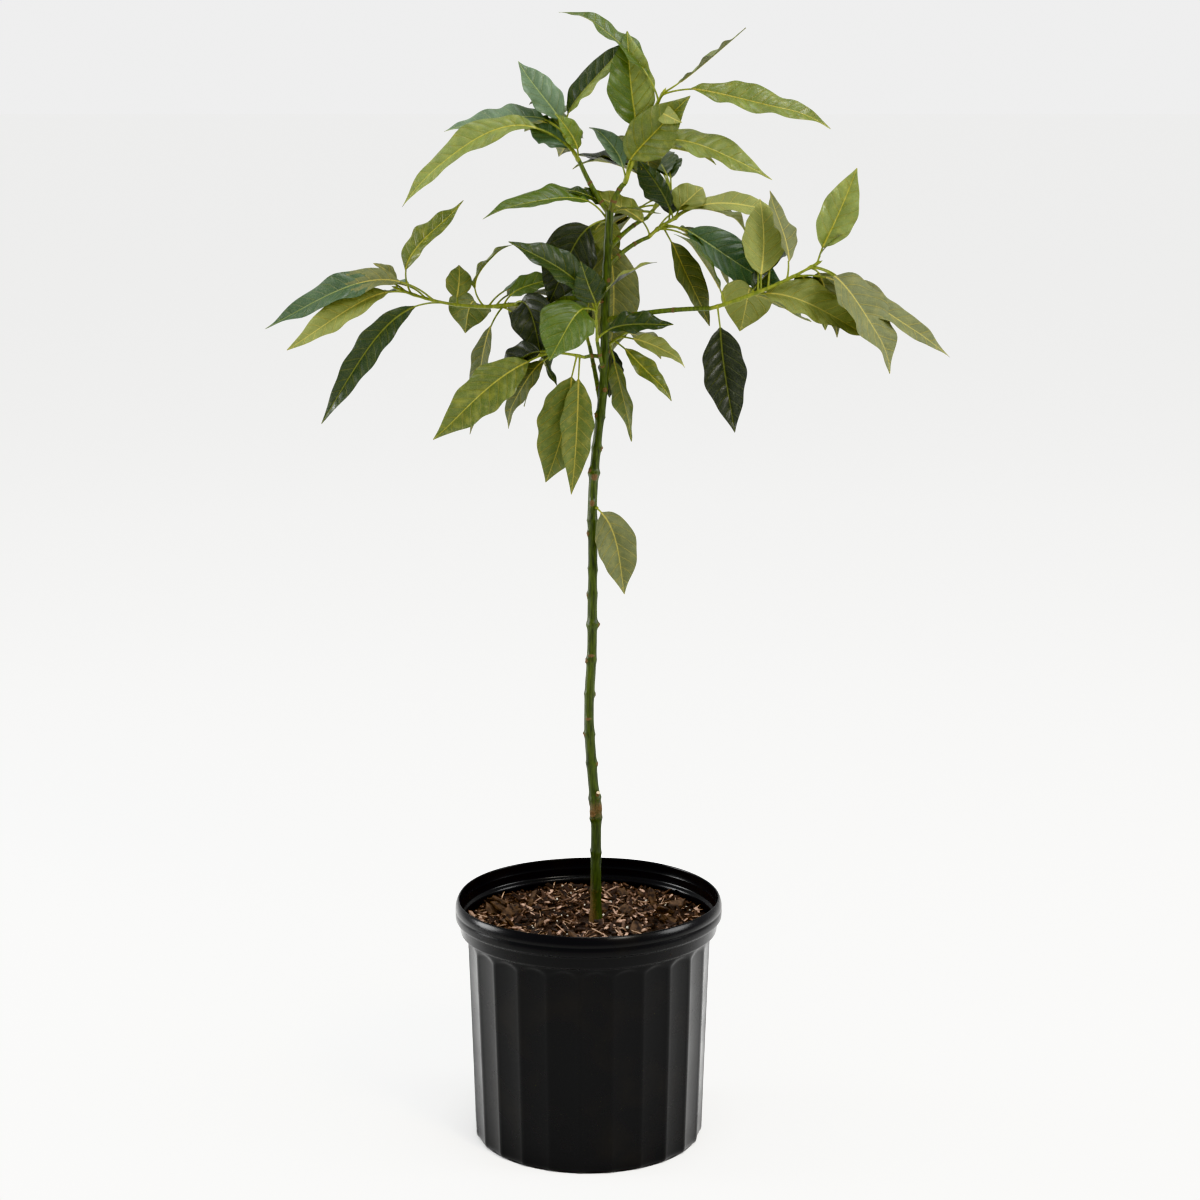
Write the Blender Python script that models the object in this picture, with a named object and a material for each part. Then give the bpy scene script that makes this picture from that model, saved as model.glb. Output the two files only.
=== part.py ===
"""A young avocado tree in a plain black nursery pot, at its real size, in metres.

The origin is the centre of the pot's underside, +Z is up and -Y is the front.
The tree is a grafted trunk that forks near its top, boughs that leave it all
round, and masses of long drooping leaves that each grow from one stem.
"""
import math
import random

import bmesh
import bpy
from mathutils import Vector
from mathutils.bvhtree import BVHTree

MM = 0.001
SEAT = 0.3 * MM
WELDS = (0.03 * MM, 0.01 * MM, 0.001 * MM)

# Pot: a thin moulded can with a rolled double rim and a fluted wall
POT_HEIGHT = 261 * MM
RIM_RADIUS = 140 * MM
COLLAR_RADIUS = 135 * MM
WALL_TOP_RADIUS = 128 * MM
WALL_TOP_HEIGHT = 222 * MM
BASE_RADIUS = 120.5 * MM
WALL = 2.0 * MM
FLOOR = 3.0 * MM
FLUTES = 24
FLUTE_DEPTH = 2.2 * MM
FLUTE_TURN = 11.3
STEPS_PER_FLUTE = 3

# Potting mix: a low uneven mound that fills the pot
MIX_HEIGHT = 232.5 * MM
MIX_RELIEF = 1.6 * MM
MIX_SIDES = 36

# Trunk: bends are (height, right) of its middle line, in mm
TRUNK_BENDS = ((233, 8), (300, 8), (352, 8), (395, 4), (460, 1), (530, 4), (620, 5),
               (690, 5), (745, 10), (802, 16), (890, 18), (973, 22))
TRUNK_FOOT_RADIUS = 5.2 * MM
TRUNK_TIP_RADIUS = 3.6 * MM
ROOT_FLARE = 2.2 * MM
ROOT_FLARE_HEIGHT = 11 * MM
# Swellings of the trunk are (height, extra radius, half length), in mm
TRUNK_SWELLINGS = ((357, 1.5, 14), (552, 0.9, 4), (709, 0.8, 4), (817, 0.7, 4), (917, 0.8, 5))
STUB_HEIGHT = 366 * MM
STUB_REACH = (3.2, -4.0, 9.0)
STUB_RADIUS = 2.1 * MM
TRUNK_SIDES = 10
BOUGH_SIDES = 7
TWIG_SIDES = 5

# Boughs are (name, height on the trunk, reach right, back and up, rise of the
# arch, radius at the foot and at the tip), in mm
BOUGHS = (
    ("left_leader", 971, (-30, 15, 50), -4, 3.0, 2.3),
    ("right_leader", 971, (15, -9, 30), 5, 3.0, 2.4),
    ("right_upper_bough", 917, (42, 28, 28), 4, 2.6, 2.0),
    ("right_long_bough", 864, (104, -36, 16), 3, 2.9, 2.2),
    ("left_long_bough", 884, (-88, 27, -6), 4, 2.9, 2.2),
    ("front_shoot", 813, (-7, -15, 32), -3, 2.2, 1.8),
    ("lower_left_shoot", 826, (-20, -8, 2), 2, 2.2, 1.8),
    ("back_bough", 776, (-12, 80, 52), 2, 2.7, 2.1),
    ("back_right_bough", 934, (40, 60, 28), 4, 2.6, 2.0),
)

# Leaves: thickness as a share of the length, and shares of the whole reach
LEAF_THICKNESS = 0.0125
PETIOLE_SHARE = 0.22
PETIOLE_RADIUS = 1.0 * MM
BROADEST = 0.44
FOLD = math.radians(16)
BLADE_STATIONS = (0.0, 0.16, 0.38, 0.62, 0.84)
FAR_STATIONS = (0.0, 0.22, 0.52, 0.8)
CLEAR = 0.5 * MM
SWINGS = (0, 8, -8, 16, -16, 24, -24, 34, -34, 46, -46, 60)

# A mass is (name, limb it grows from, height on the trunk or None for the
# limb's tip, stem's reach, rise of the stem's arch, stem's foot and tip radius,
# far leaves, leaves). A leaf is (place along the stem, reach right, back and up
# of its tip, width, way its upper side faces, bow of the midrib), in mm, with
# the bow as a share of the leaf's reach.
MASSES = (
    ("top_left_foliage", "left_leader", None, (-20, 15, 38), -2, 2.2, 1.3, 5, (
        (0.05, -50, 40, 32, 40, "fu", 0.10),
        (0.10, -21, -22, 45, 24, "fr", 0.08),
        (0.25, -177, -14, -46, 34, "uf", 0.20),
        (0.70, -124, 26, 6, 30, "uf", 0.13),
        (0.75, -47, 10, 70, 36, "fu", 0.06),
        (0.70, 64, -22, 96, 34, "ful", 0.09),
    )),
    ("top_right_foliage", "right_leader", None, (37, -22, 89), 6, 2.3, 1.4, 7, (
        (0.02, -35, 30, 56, 22, "uf", 0.10),
        (0.05, 58, -32, 80, 48, "f", 0.08),
        (0.22, 138, -10, -17, 34, "fu", 0.16),
        (0.35, -11, 4, 112, 48, "f", 0.02),
        (0.70, 28, -24, -6, 18, "f", 0.12),
        (0.88, -92, 40, 96, 30, "urf", 0.07),
        (0.97, 167, -14, -22, 34, "uf", 0.06),
        (1.00, 81, 12, 62, 26, "ul", -0.02),
    )),
    ("right_upper_foliage", "right_upper_bough", None, (28, 16, 18), 2, 1.9, 1.3, 5, (
        (0.05, -66, -26, 48, 26, "ub", 0.10),
        (0.55, 128, -40, -68, 48, "fu", 0.05),
        (0.50, 50, -8, -100, 34, "fr", 0.01),
        (0.75, 4, 34, 30, 32, "f", 0.08),
        (0.90, -37, -20, 63, 36, "fl", 0.04),
        (0.98, 29, 20, 32, 36, "fu", 0.08),
        (1.00, 118, 28, 0, 26, "fu", 0.09),
    )),
    ("right_foliage", "right_long_bough", None, (102, -42, 48), -4, 2.1, 1.3, 8, (
        (0.07, 18, -20, -123, 44, "f", -0.01),
        (0.14, -44, 12, 73, 36, "ru", 0.04),
        (0.42, -12, 44, -42, 54, "b", 0.26),
        (0.38, 19, 24, 20, 24, "f", 0.06),
        (0.28, 130, -14, -38, 48, "fu", 0.10),
        (0.48, 1, 50, 88, 44, "f", 0.02),
        (0.72, -17, 40, 82, 28, "rf", 0.10),
        (0.76, 158, -12, -74, 32, "uf", 0.09),
        (0.94, 84, -32, -95, 54, "fr", 0.10),
        (1.00, 37, 0, 92, 38, "f", 0.02),
        (1.00, 26, -6, 34, 14, "ul", 0.06),
    )),
    ("left_foliage", "left_long_bough", None, (-126, 40, 12), -9, 2.1, 1.3, 8, (
        (0.03, 27, -44, -45, 46, "f", 0.26),
        (0.12, 57, -12, 30, 26, "uf", 0.10),
        (0.12, -32, -6, -131, 28, "fl", 0.07),
        (0.28, 28, -2, 69, 26, "lu", 0.21),
        (0.34, -14, 42, -31, 46, "b", 0.22),
        (0.50, 2, 10, 41, 28, "f", 0.10),
        (0.53, -138, -16, -122, 29, "f", 0.16),
        (0.70, -171, -12, -28, 36, "uf", 0.15),
        (0.86, -127, -36, -53, 34, "uf", 0.10),
        (0.88, 56, 2, 93, 28, "lf", 0.17),
        (1.00, -22, -12, 27, 16, "uf", 0.10),
    )),
    ("front_foliage", "front_shoot", None, (-1, -21, 32), 0, 1.7, 1.1, 3, (
        (0.05, 76, -10, 16, 28, "uf", 0.10),
        (1.00, -46, -40, -44, 60, "fu", 0.20),
        (0.94, -86, -20, 72, 38, "fu", 0.08),
        (1.00, 57, -26, 55, 26, "ul", 0.08),
        (1.00, -14, -20, 49, 34, "f", 0.04),
    )),
    ("lower_left_foliage", "lower_left_shoot", None, (-32, -20, 7), 1, 1.7, 1.1, 3, (
        (0.15, -8, -18, -138, 34, "f", 0.00),
        (0.24, -32, 12, -133, 56, "f", 0.00),
        (0.85, -55, -10, -72, 30, "fl", 0.08),
        (1.00, -118, -20, -86, 44, "f", 0.06),
        (1.00, -56, 30, -26, 34, "fu", 0.10),
    )),
    ("lower_right_foliage", "trunk", 836, (16, 14, 10), 1, 1.7, 1.1, 2, (
        (0.30, 25, 14, -100, 30, "fl", 0.02),
        (0.60, 61, -10, -57, 22, "uf", 0.02),
        (0.50, -3, 32, -61, 26, "f", 0.06),
        (1.00, 69, 10, -28, 24, "uf", 0.04),
    )),
    ("fork_foliage", "trunk", 958, (-3, 30, 14), 2, 2.0, 1.3, 2, (
        (0.20, -125, -34, 12, 36, "uuf", 0.15),
        (0.30, -59, -14, -84, 56, "f", 0.15),
        (0.80, 0, 34, -46, 30, "f", 0.05),
        (0.55, 3, 8, -150, 54, "f", 0.04),
        (0.40, 53, -2, 3, 14, "u", 0.14),
        (0.60, -42, 8, 28, 16, "fu", 0.10),
    )),
    ("back_foliage", "back_bough", None, (-14, 66, 34), 2, 2.0, 1.2, 11, ()),
    ("back_right_foliage", "back_right_bough", None, (30, 50, 26), 2, 1.9, 1.2, 10, ()),
    ("lower_leaf", "trunk", 672, (4, -4, 2), 0, 1.3, 1.1, 0, (
        (1.00, 28, -10, -87, 42, "f", 0.13),
    )),
)

# Far leaves fill the sides that the near ones leave bare
FAR_SEED = 44
FAR_TRIES = 420
FAR_LENGTH = (88, 140)
FAR_WIDTH_SHARE = (0.27, 0.36)
FAR_DROOP = (-62, 36)
FAR_HIDDEN_SHARE = 0.92
FAR_BOW = 0.1
FRONT_WAY = Vector((0.0, -0.978, 0.206))

FACES = {"u": (0, 0, 1), "d": (0, 0, -1), "f": (0, -1, 0), "b": (0, 1, 0),
         "l": (-1, 0, 0), "r": (1, 0, 0)}


def clear_scene():
    for thing in list(bpy.data.objects):
        bpy.data.objects.remove(thing, do_unlink=True)


def make_material(name, colour, roughness, metallic=0.0):
    material = bpy.data.materials.new(name)
    material.use_nodes = True
    shader = material.node_tree.nodes["Principled BSDF"]
    shader.inputs["Base Color"].default_value = (*colour, 1.0)
    shader.inputs["Roughness"].default_value = roughness
    shader.inputs["Metallic"].default_value = metallic
    return material


def add_object(name, points, faces, material=None, smooth_below=40):
    mesh = bpy.data.meshes.new(name)
    mesh.from_pydata(points, [], faces)
    mesh.validate()
    made = bpy.data.objects.new(name, mesh)
    bpy.context.collection.objects.link(made)
    if material:
        mesh.materials.append(material)
    mesh.shade_smooth()
    mesh.set_sharp_from_angle(angle=math.radians(smooth_below))
    return made


def vector(millimetres):
    return Vector(millimetres) * MM


def bend(start, middle, end, t):
    """A point of the curve that leaves start towards middle and ends at end."""
    return start * (1 - t) ** 2 + middle * 2 * t * (1 - t) + end * t * t


def smooth_row(rows, t):
    """A smooth curve through evenly numbered rows, t from 0 to 1."""
    place = t * (len(rows) - 1)
    index = min(int(place), len(rows) - 2)
    local = place - index
    before = rows[max(index - 1, 0)]
    after = rows[min(index + 2, len(rows) - 1)]
    here, there = rows[index], rows[index + 1]
    values = []
    for a, b, c, d in zip(before, here, there, after):
        values.append(b + 0.5 * local * (c - a + local * (2 * a - 5 * b + 4 * c - d
                      + local * (3 * (b - c) + d - a))))
    return values


def tube(path, radii, sides):
    """Points and faces of a closed tube along a path, without any twist."""
    points, faces = [], []
    side = Vector((0.0, 1.0, 0.0))
    for index, (middle, radius) in enumerate(zip(path, radii)):
        ahead = path[min(index + 1, len(path) - 1)] - path[max(index - 1, 0)]
        ahead.normalize()
        side = (side - ahead * side.dot(ahead)).normalized()
        across = ahead.cross(side)
        for step in range(sides):
            angle = 2 * math.pi * step / sides
            points.append(middle + (side * math.cos(angle) + across * math.sin(angle)) * radius)
    for ring in range(len(path) - 1):
        for step in range(sides):
            here = ring * sides + step
            beside = ring * sides + (step + 1) % sides
            faces.append((here, beside, beside + sides, here + sides))
    faces.append(tuple(range(sides))[::-1])
    last = (len(path) - 1) * sides
    faces.append(tuple(range(last, last + sides)))
    return points, faces


def all_closed(work):
    return all(len(edge.link_faces) == 2 for edge in work.edges)


def is_closed(mesh):
    work = bmesh.new()
    work.from_mesh(mesh)
    bmesh.ops.remove_doubles(work, verts=work.verts, dist=WELDS[-1])
    closed = all_closed(work)
    work.free()
    return closed


def combine(target, other, operation):
    """Joins or cuts target by an object or a whole collection, and applies it."""
    boolean = target.modifiers.new(operation.lower(), "BOOLEAN")
    boolean.operation = operation
    if isinstance(other, bpy.types.Collection):
        boolean.operand_type = "COLLECTION"
        boolean.collection = other
        spent = list(other.objects)
    else:
        boolean.object = other
        spent = [other]
    for solver in ("EXACT", "MANIFOLD"):
        boolean.solver = solver
        bpy.context.view_layer.update()
        shaped = bpy.data.meshes.new_from_object(
            target.evaluated_get(bpy.context.evaluated_depsgraph_get()))
        if is_closed(shaped):
            break
    target.modifiers.clear()
    target.data = shaped
    for thing in spent:
        bpy.data.objects.remove(thing, do_unlink=True)
    if isinstance(other, bpy.types.Collection):
        bpy.data.collections.remove(other)


def drop_scraps(work):
    """Removes any scrap that a cut or a union left loose beside the main body."""
    unseen = set(work.verts)
    bodies = []
    while unseen:
        start = unseen.pop()
        body, stack = {start}, [start]
        while stack:
            for edge in stack.pop().link_edges:
                for corner in edge.verts:
                    if corner in unseen:
                        unseen.discard(corner)
                        body.add(corner)
                        stack.append(corner)
        bodies.append(body)
    bodies.sort(key=len)
    scraps = [corner for body in bodies[:-1] for corner in body]
    bmesh.ops.delete(work, geom=scraps, context="VERTS")


def keep_largest(target):
    """Keeps the main body, and welds its slivers away as far as it stays closed."""
    for weld in WELDS:
        work = bmesh.new()
        work.from_mesh(target.data)
        bmesh.ops.remove_doubles(work, verts=work.verts, dist=weld)
        bmesh.ops.triangulate(work, faces=work.faces)
        bmesh.ops.dissolve_degenerate(work, edges=work.edges, dist=weld)
        bmesh.ops.triangulate(work, faces=work.faces)
        drop_scraps(work)
        whole = all_closed(work)
        if whole or weld == WELDS[-1]:
            work.to_mesh(target.data)
        work.free()
        if whole:
            break


def turned(profile, sides, wave=None):
    """Rings of a turned shape; the first and last rows of the profile are on the axis."""
    points, faces = [], []
    for row, (radius, height) in enumerate(profile[1:-1], start=1):
        for step in range(sides):
            angle = 2 * math.pi * step / sides
            out, lift = wave(row, radius, height, angle) if wave else (radius, height)
            points.append((out * math.cos(angle), out * math.sin(angle), lift))
    rings = len(profile) - 2
    for ring in range(rings - 1):
        for step in range(sides):
            here = ring * sides + step
            beside = ring * sides + (step + 1) % sides
            faces.append((here, beside, beside + sides, here + sides))
    points.append((0.0, 0.0, profile[0][1]))
    points.append((0.0, 0.0, profile[-1][1]))
    first, last = len(points) - 2, len(points) - 1
    for step in range(sides):
        beside = (step + 1) % sides
        faces.append((first, beside, step))
        faces.append((last, (rings - 1) * sides + step, (rings - 1) * sides + beside))
    return points, faces


def flute(angle):
    """How deep the wall is at an angle, 0 on a ridge to 1 in the middle of a flute."""
    place = (math.degrees(angle) - FLUTE_TURN) / 360 * FLUTES % 1
    return math.sin(math.pi * place) ** 0.7


def wall_radius(height):
    share = height / WALL_TOP_HEIGHT
    return BASE_RADIUS + (WALL_TOP_RADIUS - BASE_RADIUS) * share


def bore_radius(height):
    """Inside of the pot: inside the flutes, and wider in the collar and the rim."""
    return wall_radius(height) - FLUTE_DEPTH - WALL


def build_pot(material):
    ledge = 1.5 * MM
    low, high = 10 * MM, 214 * MM
    fluted = {3, 4}
    profile = (
        (0, 0), (BASE_RADIUS - 3 * MM, 0), (wall_radius(3 * MM), 3 * MM),
        (wall_radius(low), low), (wall_radius(high), high),
        (WALL_TOP_RADIUS, WALL_TOP_HEIGHT), (COLLAR_RADIUS - ledge, 226 * MM),
        (COLLAR_RADIUS, 229 * MM), (COLLAR_RADIUS, 238 * MM),
        (RIM_RADIUS, 242 * MM), (RIM_RADIUS, 257 * MM), (RIM_RADIUS - 2 * MM, POT_HEIGHT),
        (RIM_RADIUS - 4 * MM, 258 * MM), (RIM_RADIUS - 4.4 * MM, 248 * MM),
        (COLLAR_RADIUS - 4 * MM, 238 * MM), (bore_radius(226 * MM), 226 * MM),
        (bore_radius(FLOOR), FLOOR), (0, FLOOR),
    )

    def wave(row, radius, height, angle):
        deep = FLUTE_DEPTH * flute(angle) if row in fluted else 0.0
        return radius - deep, height

    points, faces = turned(profile, FLUTES * STEPS_PER_FLUTE, wave)
    return add_object("pot", points, faces, material, 30)


def mix_height(x, y):
    """The potting mix lies a little high in the middle and rolls in small lumps."""
    lumps = math.sin(x * 95 + 1.3) * math.cos(y * 83 - 0.7) + 0.6 * math.sin((x - y) * 160)
    return MIX_HEIGHT + MIX_RELIEF * 0.5 * lumps


def build_mix(material):
    low = FLOOR + SEAT
    top = bore_radius(226 * MM) - SEAT
    foot_x, foot_y = TRUNK_BENDS[0][1] * MM, 0.0
    edge = 229 * MM
    profile = [(0, low), (bore_radius(low) - SEAT, low), (bore_radius(225 * MM) - SEAT, 225 * MM)]
    profile += [(top * share, MIX_HEIGHT) for share in (1.0, 0.84, 0.66, 0.48, 0.28)]
    profile.append((0, MIX_HEIGHT))

    def wave(row, radius, height, angle):
        if row < 3:
            return radius, height
        if row == 3:
            return radius, edge
        x, y = radius * math.cos(angle), radius * math.sin(angle)
        near_foot = math.exp(-((x - foot_x) ** 2 + (y - foot_y) ** 2) / (40 * MM) ** 2)
        return radius, mix_height(x, y) * (1 - near_foot) + MIX_HEIGHT * near_foot

    points, faces = turned(profile, MIX_SIDES, wave)
    mix = add_object("potting_mix", points, faces, material, 30)
    seat = 24 * MM
    path = [Vector((foot_x, foot_y, MIX_HEIGHT - 1 * MM)), Vector((foot_x, foot_y, MIX_HEIGHT + 9 * MM))]
    level = add_object("mix_seat", *tube(path, (seat, seat), 16))
    combine(mix, level, "DIFFERENCE")
    keep_largest(mix)
    return mix


def trunk_middle(t):
    height, right = smooth_row(TRUNK_BENDS, t)
    return Vector((right * MM, 0.0, height * MM))


def trunk_at(height):
    """The trunk's middle at a height in mm."""
    low, high = 0.0, 1.0
    for _ in range(30):
        half = (low + high) / 2
        if trunk_middle(half).z < height * MM:
            low = half
        else:
            high = half
    return trunk_middle(low)


def trunk_radius(height):
    foot, tip = TRUNK_BENDS[0][0] * MM, TRUNK_BENDS[-1][0] * MM
    share = max((height - foot) / (tip - foot), 0.0)
    radius = TRUNK_FOOT_RADIUS + (TRUNK_TIP_RADIUS - TRUNK_FOOT_RADIUS) * share ** 1.4
    radius += ROOT_FLARE * math.exp(-(height - foot) / ROOT_FLARE_HEIGHT)
    for place, extra, half in TRUNK_SWELLINGS:
        radius += extra * MM * math.exp(-((height - place * MM) / (half * MM)) ** 2)
    return radius


def trunk_tube(extra=0.0):
    steps = 42
    path = [trunk_middle(step / steps) for step in range(steps + 1)]
    path[0].z = MIX_HEIGHT - 1 * MM + SEAT
    radii = [trunk_radius(max(point.z, path[0].z)) + extra for point in path]
    tip = path[-1] + (path[-1] - path[-2]).normalized() * (radii[-1] * 0.6)
    path.append(tip)
    radii.append(radii[-1] * 0.55)
    return tube(path, radii, TRUNK_SIDES)


def build_trunk(material):
    trunk = add_object("trunk", *trunk_tube(), material)
    foot = trunk_at(STUB_HEIGHT / MM)
    tip = foot + vector(STUB_REACH)
    stub = add_object("stub", *tube([foot, tip], (STUB_RADIUS, STUB_RADIUS * 0.9), 8))
    combine(trunk, stub, "UNION")
    keep_largest(trunk)
    return trunk


def arm(foot, reach, rise):
    """The middle line of a limb or stem, as a function of the share along it."""
    tip = foot + vector(reach)
    middle = (foot + tip) / 2 + Vector((0.0, 0.0, 2 * rise * MM))
    return lambda t: bend(foot, middle, tip, t)


def arm_tube(line, foot_radius, tip_radius, sides, extra=0.0, steps=6):
    path = [line(step / steps) for step in range(steps + 1)]
    radii = [(foot_radius + (tip_radius - foot_radius) * step / steps) * MM + extra
             for step in range(steps + 1)]
    if extra:
        path[-1] = path[-1] + (path[-1] - path[-2]).normalized() * extra
        path[0] = path[0] - (path[1] - path[0]).normalized() * extra
    return tube(path, radii, sides)


def cut_clear(target, shapes):
    """Cuts a seat into target, a small gap clear of each shape that carries it."""
    for points, faces in shapes:
        combine(target, add_object("cutter", points, faces), "DIFFERENCE")
    keep_largest(target)


class Leaf:
    """One leaf: a petiole and a blade on one bowed line, from its node to its tip."""

    def __init__(self, node, reach, width, facing, bow, stations=BLADE_STATIONS):
        self.node = node
        self.reach = reach
        self.width = width
        self.facing = facing
        self.stations = stations
        self.length = reach.length
        lift = Vector((0.0, 0.0, 1.0)) + facing.normalized() * 0.3
        rise = (lift - reach * (lift.dot(reach) / reach.length_squared)).normalized()
        rise *= bow * self.length
        self.controls = (node, node + reach * 0.22 + rise * 2.1,
                         node + reach * 0.58 + rise * 0.8, node + reach)

    def frame(self, t):
        a, b, c, d = self.controls
        place = bend(a, b, c, t) * (1 - t) + bend(b, c, d, t) * t
        ahead = bend(b - a, c - b, d - c, t).normalized()
        up = (self.facing - ahead * self.facing.dot(ahead)).normalized()
        return place, ahead.cross(up), up

    def solid(self, spare=0.0):
        """Points and faces; spare thickens the leaf for a test of its clearance."""
        thick = max(LEAF_THICKNESS * self.length, 1.1 * MM) / 2 + spare
        points, faces = [], []
        for t in (0.0, PETIOLE_SHARE * 0.5):
            place, side, up = self.frame(t)
            radius = PETIOLE_RADIUS + spare
            points += [place + side * radius, place + up * radius,
                       place - side * radius, place - up * radius]
        for u in self.stations:
            place, side, up = self.frame(PETIOLE_SHARE + (1 - PETIOLE_SHARE) * u)
            half = max(self.width / 2 * outline(u), PETIOLE_RADIUS) + spare
            drift = up * (half * math.sin(FOLD))
            across = side * (half * math.cos(FOLD))
            thin = thick * (1 - 0.35 * u)
            points += [place + across + drift, place + up * thin,
                       place - across + drift, place - up * thin]
        points.append(self.frame(1.0)[0])
        rings = 2 + len(self.stations)
        for ring in range(rings - 1):
            for step in range(4):
                here = ring * 4 + step
                beside = ring * 4 + (step + 1) % 4
                faces.append((here, here + 4, beside + 4))
                faces.append((here, beside + 4, beside))
        tip = len(points) - 1
        for step in range(4):
            faces.append(((rings - 1) * 4 + step, tip, (rings - 1) * 4 + (step + 1) % 4))
        faces.append((0, 1, 2))
        faces.append((0, 2, 3))
        return points, faces

    def samples(self):
        """Points of the blade, to see what stands in front of it."""
        found = []
        for u in (0.15, 0.4, 0.65, 0.9):
            place, side, up = self.frame(PETIOLE_SHARE + (1 - PETIOLE_SHARE) * u)
            half = self.width / 2 * outline(u)
            found += [place, place + side * half, place - side * half]
        found.append(self.node + self.reach)
        return found


def outline(u):
    """Half width of a blade at a share of its length: broad, then long-pointed."""
    if u < BROADEST:
        return math.sin(math.pi / 2 * (0.06 + 0.94 * u / BROADEST)) ** 0.85
    return math.cos(math.pi / 2 * (u - BROADEST) / (1 - BROADEST)) ** 0.9


def facing_way(letters):
    return sum((Vector(FACES[letter]) for letter in letters), Vector())


def tree_of(points, faces):
    return BVHTree.FromPolygons([tuple(point) for point in points], faces)


def near_leaf(line, row):
    """The leaf of a row, swung back or forward until it is clear of its neighbours."""
    station, right, back, up, width, letters, bow = row
    for swing in SWINGS:
        yield Leaf(line(station), vector((right, back + swing, up)), width * MM,
                   facing_way(letters), bow)


def far_leaf(line, chance):
    """A chance leaf: any way round, drooping, its upper side up and outward."""
    for _ in range(FAR_TRIES):
        turn = chance.uniform(0, 2 * math.pi)
        droop = math.radians(chance.uniform(*FAR_DROOP))
        length = chance.uniform(*FAR_LENGTH)
        out = Vector((math.cos(turn), math.sin(turn), 0.0))
        reach = (out * math.cos(droop) + Vector((0.0, 0.0, math.sin(droop)))) * length * MM
        width = length * MM * chance.uniform(*FAR_WIDTH_SHARE)
        facing = Vector((0.0, 0.0, 1.0)) + out * 0.5
        yield Leaf(line(chance.uniform(0.15, 0.97)), reach, width, facing, FAR_BOW, FAR_STATIONS)


def is_clear(leaf, others):
    shape = tree_of(*leaf.solid(CLEAR))
    return not any(shape.overlap(other) for other in others)


def is_hidden(leaf, screens):
    """Whether a leaf stands behind nearer ones, so that the gaps stay open."""
    samples = leaf.samples()
    covered = 0
    for point in samples:
        if any(screen.ray_cast(point, FRONT_WAY)[0] for screen in screens):
            covered += 1
    return covered >= FAR_HIDDEN_SHARE * len(samples)


def grow_leaves(lines, limbs, stems):
    """Chooses every leaf: the near ones by their rows, then the far ones by chance."""
    chosen = {row[0]: [] for row in MASSES}
    trees = {row[0]: [] for row in MASSES}

    def others(name, carrier):
        found = [tree for limb, tree in limbs.items() if limb != carrier]
        found += [tree for stem, tree in stems.items() if stem != name]
        found += [tree for mass in trees if mass != name for tree in trees[mass]]
        return found

    def place(name, carrier, tries, screens=None):
        blocked = others(name, carrier)
        for leaf in tries:
            if screens is not None and not is_hidden(leaf, screens):
                continue
            if is_clear(leaf, blocked):
                chosen[name].append(leaf)
                trees[name].append(tree_of(*leaf.solid()))
                return

    for name, carrier, _, _, _, _, _, _, rows in MASSES:
        for row in rows:
            place(name, carrier, near_leaf(lines[name], row))
    chance = random.Random(FAR_SEED)
    screens = [tree for mass in trees.values() for tree in mass]
    for name, carrier, _, _, _, _, _, count, _ in MASSES:
        for _ in range(count):
            place(name, carrier, far_leaf(lines[name], chance), screens)
    return chosen


def build_mass(name, stem, leaves, seats, material):
    """One stem with its leaves, joined by one union and seated on its limb."""
    mass = add_object(name, *stem, material)
    if leaves:
        group = bpy.data.collections.new(name + "_leaves")
        bpy.context.scene.collection.children.link(group)
        for leaf in leaves:
            blade = add_object("leaf", *leaf.solid())
            bpy.context.collection.objects.unlink(blade)
            group.objects.link(blade)
        combine(mass, group, "UNION")
    cut_clear(mass, seats)
    return mass


def build_tree():
    bark = make_material("young green bark", (0.05, 0.085, 0.02), 0.55)
    shoot = make_material("green shoot", (0.09, 0.12, 0.02), 0.5)
    green = make_material("avocado leaf", (0.03, 0.09, 0.02), 0.42)
    build_trunk(bark)
    limbs = {"trunk": tree_of(*trunk_tube())}
    lines, fat = {}, {"trunk": trunk_tube(SEAT)}
    for name, height, reach, rise, foot_radius, tip_radius in BOUGHS:
        line = arm(trunk_at(height), reach, rise)
        lines[name] = line
        limbs[name] = tree_of(*arm_tube(line, foot_radius, tip_radius, BOUGH_SIDES))
        fat[name] = arm_tube(line, foot_radius, tip_radius, BOUGH_SIDES, SEAT)
        bough = add_object(name, *arm_tube(line, foot_radius, tip_radius, BOUGH_SIDES), shoot)
        seats = [fat["trunk"]]
        if name == "right_leader":
            seats.append(fat["left_leader"])
        cut_clear(bough, seats)
    stems, shapes = {}, {}
    for name, carrier, height, reach, rise, foot_radius, tip_radius, _, _ in MASSES:
        foot = lines[carrier](1.0) if height is None else trunk_at(height)
        lines[name] = arm(foot, reach, rise)
        shapes[name] = arm_tube(lines[name], foot_radius, tip_radius, TWIG_SIDES)
        stems[name] = tree_of(*shapes[name])
    leaves = grow_leaves(lines, limbs, stems)
    for name, carrier, *_ in MASSES:
        build_mass(name, shapes[name], leaves[name], [fat[carrier]], green)


def build():
    clear_scene()
    build_pot(make_material("black nursery plastic", (0.012, 0.012, 0.013), 0.42))
    build_mix(make_material("potting mix", (0.03, 0.018, 0.01), 0.95))
    build_tree()


build()
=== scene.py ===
import math
import random
from functools import partial

import bmesh
import bpy
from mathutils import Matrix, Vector, noise
from mathutils.bvhtree import BVHTree


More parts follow.
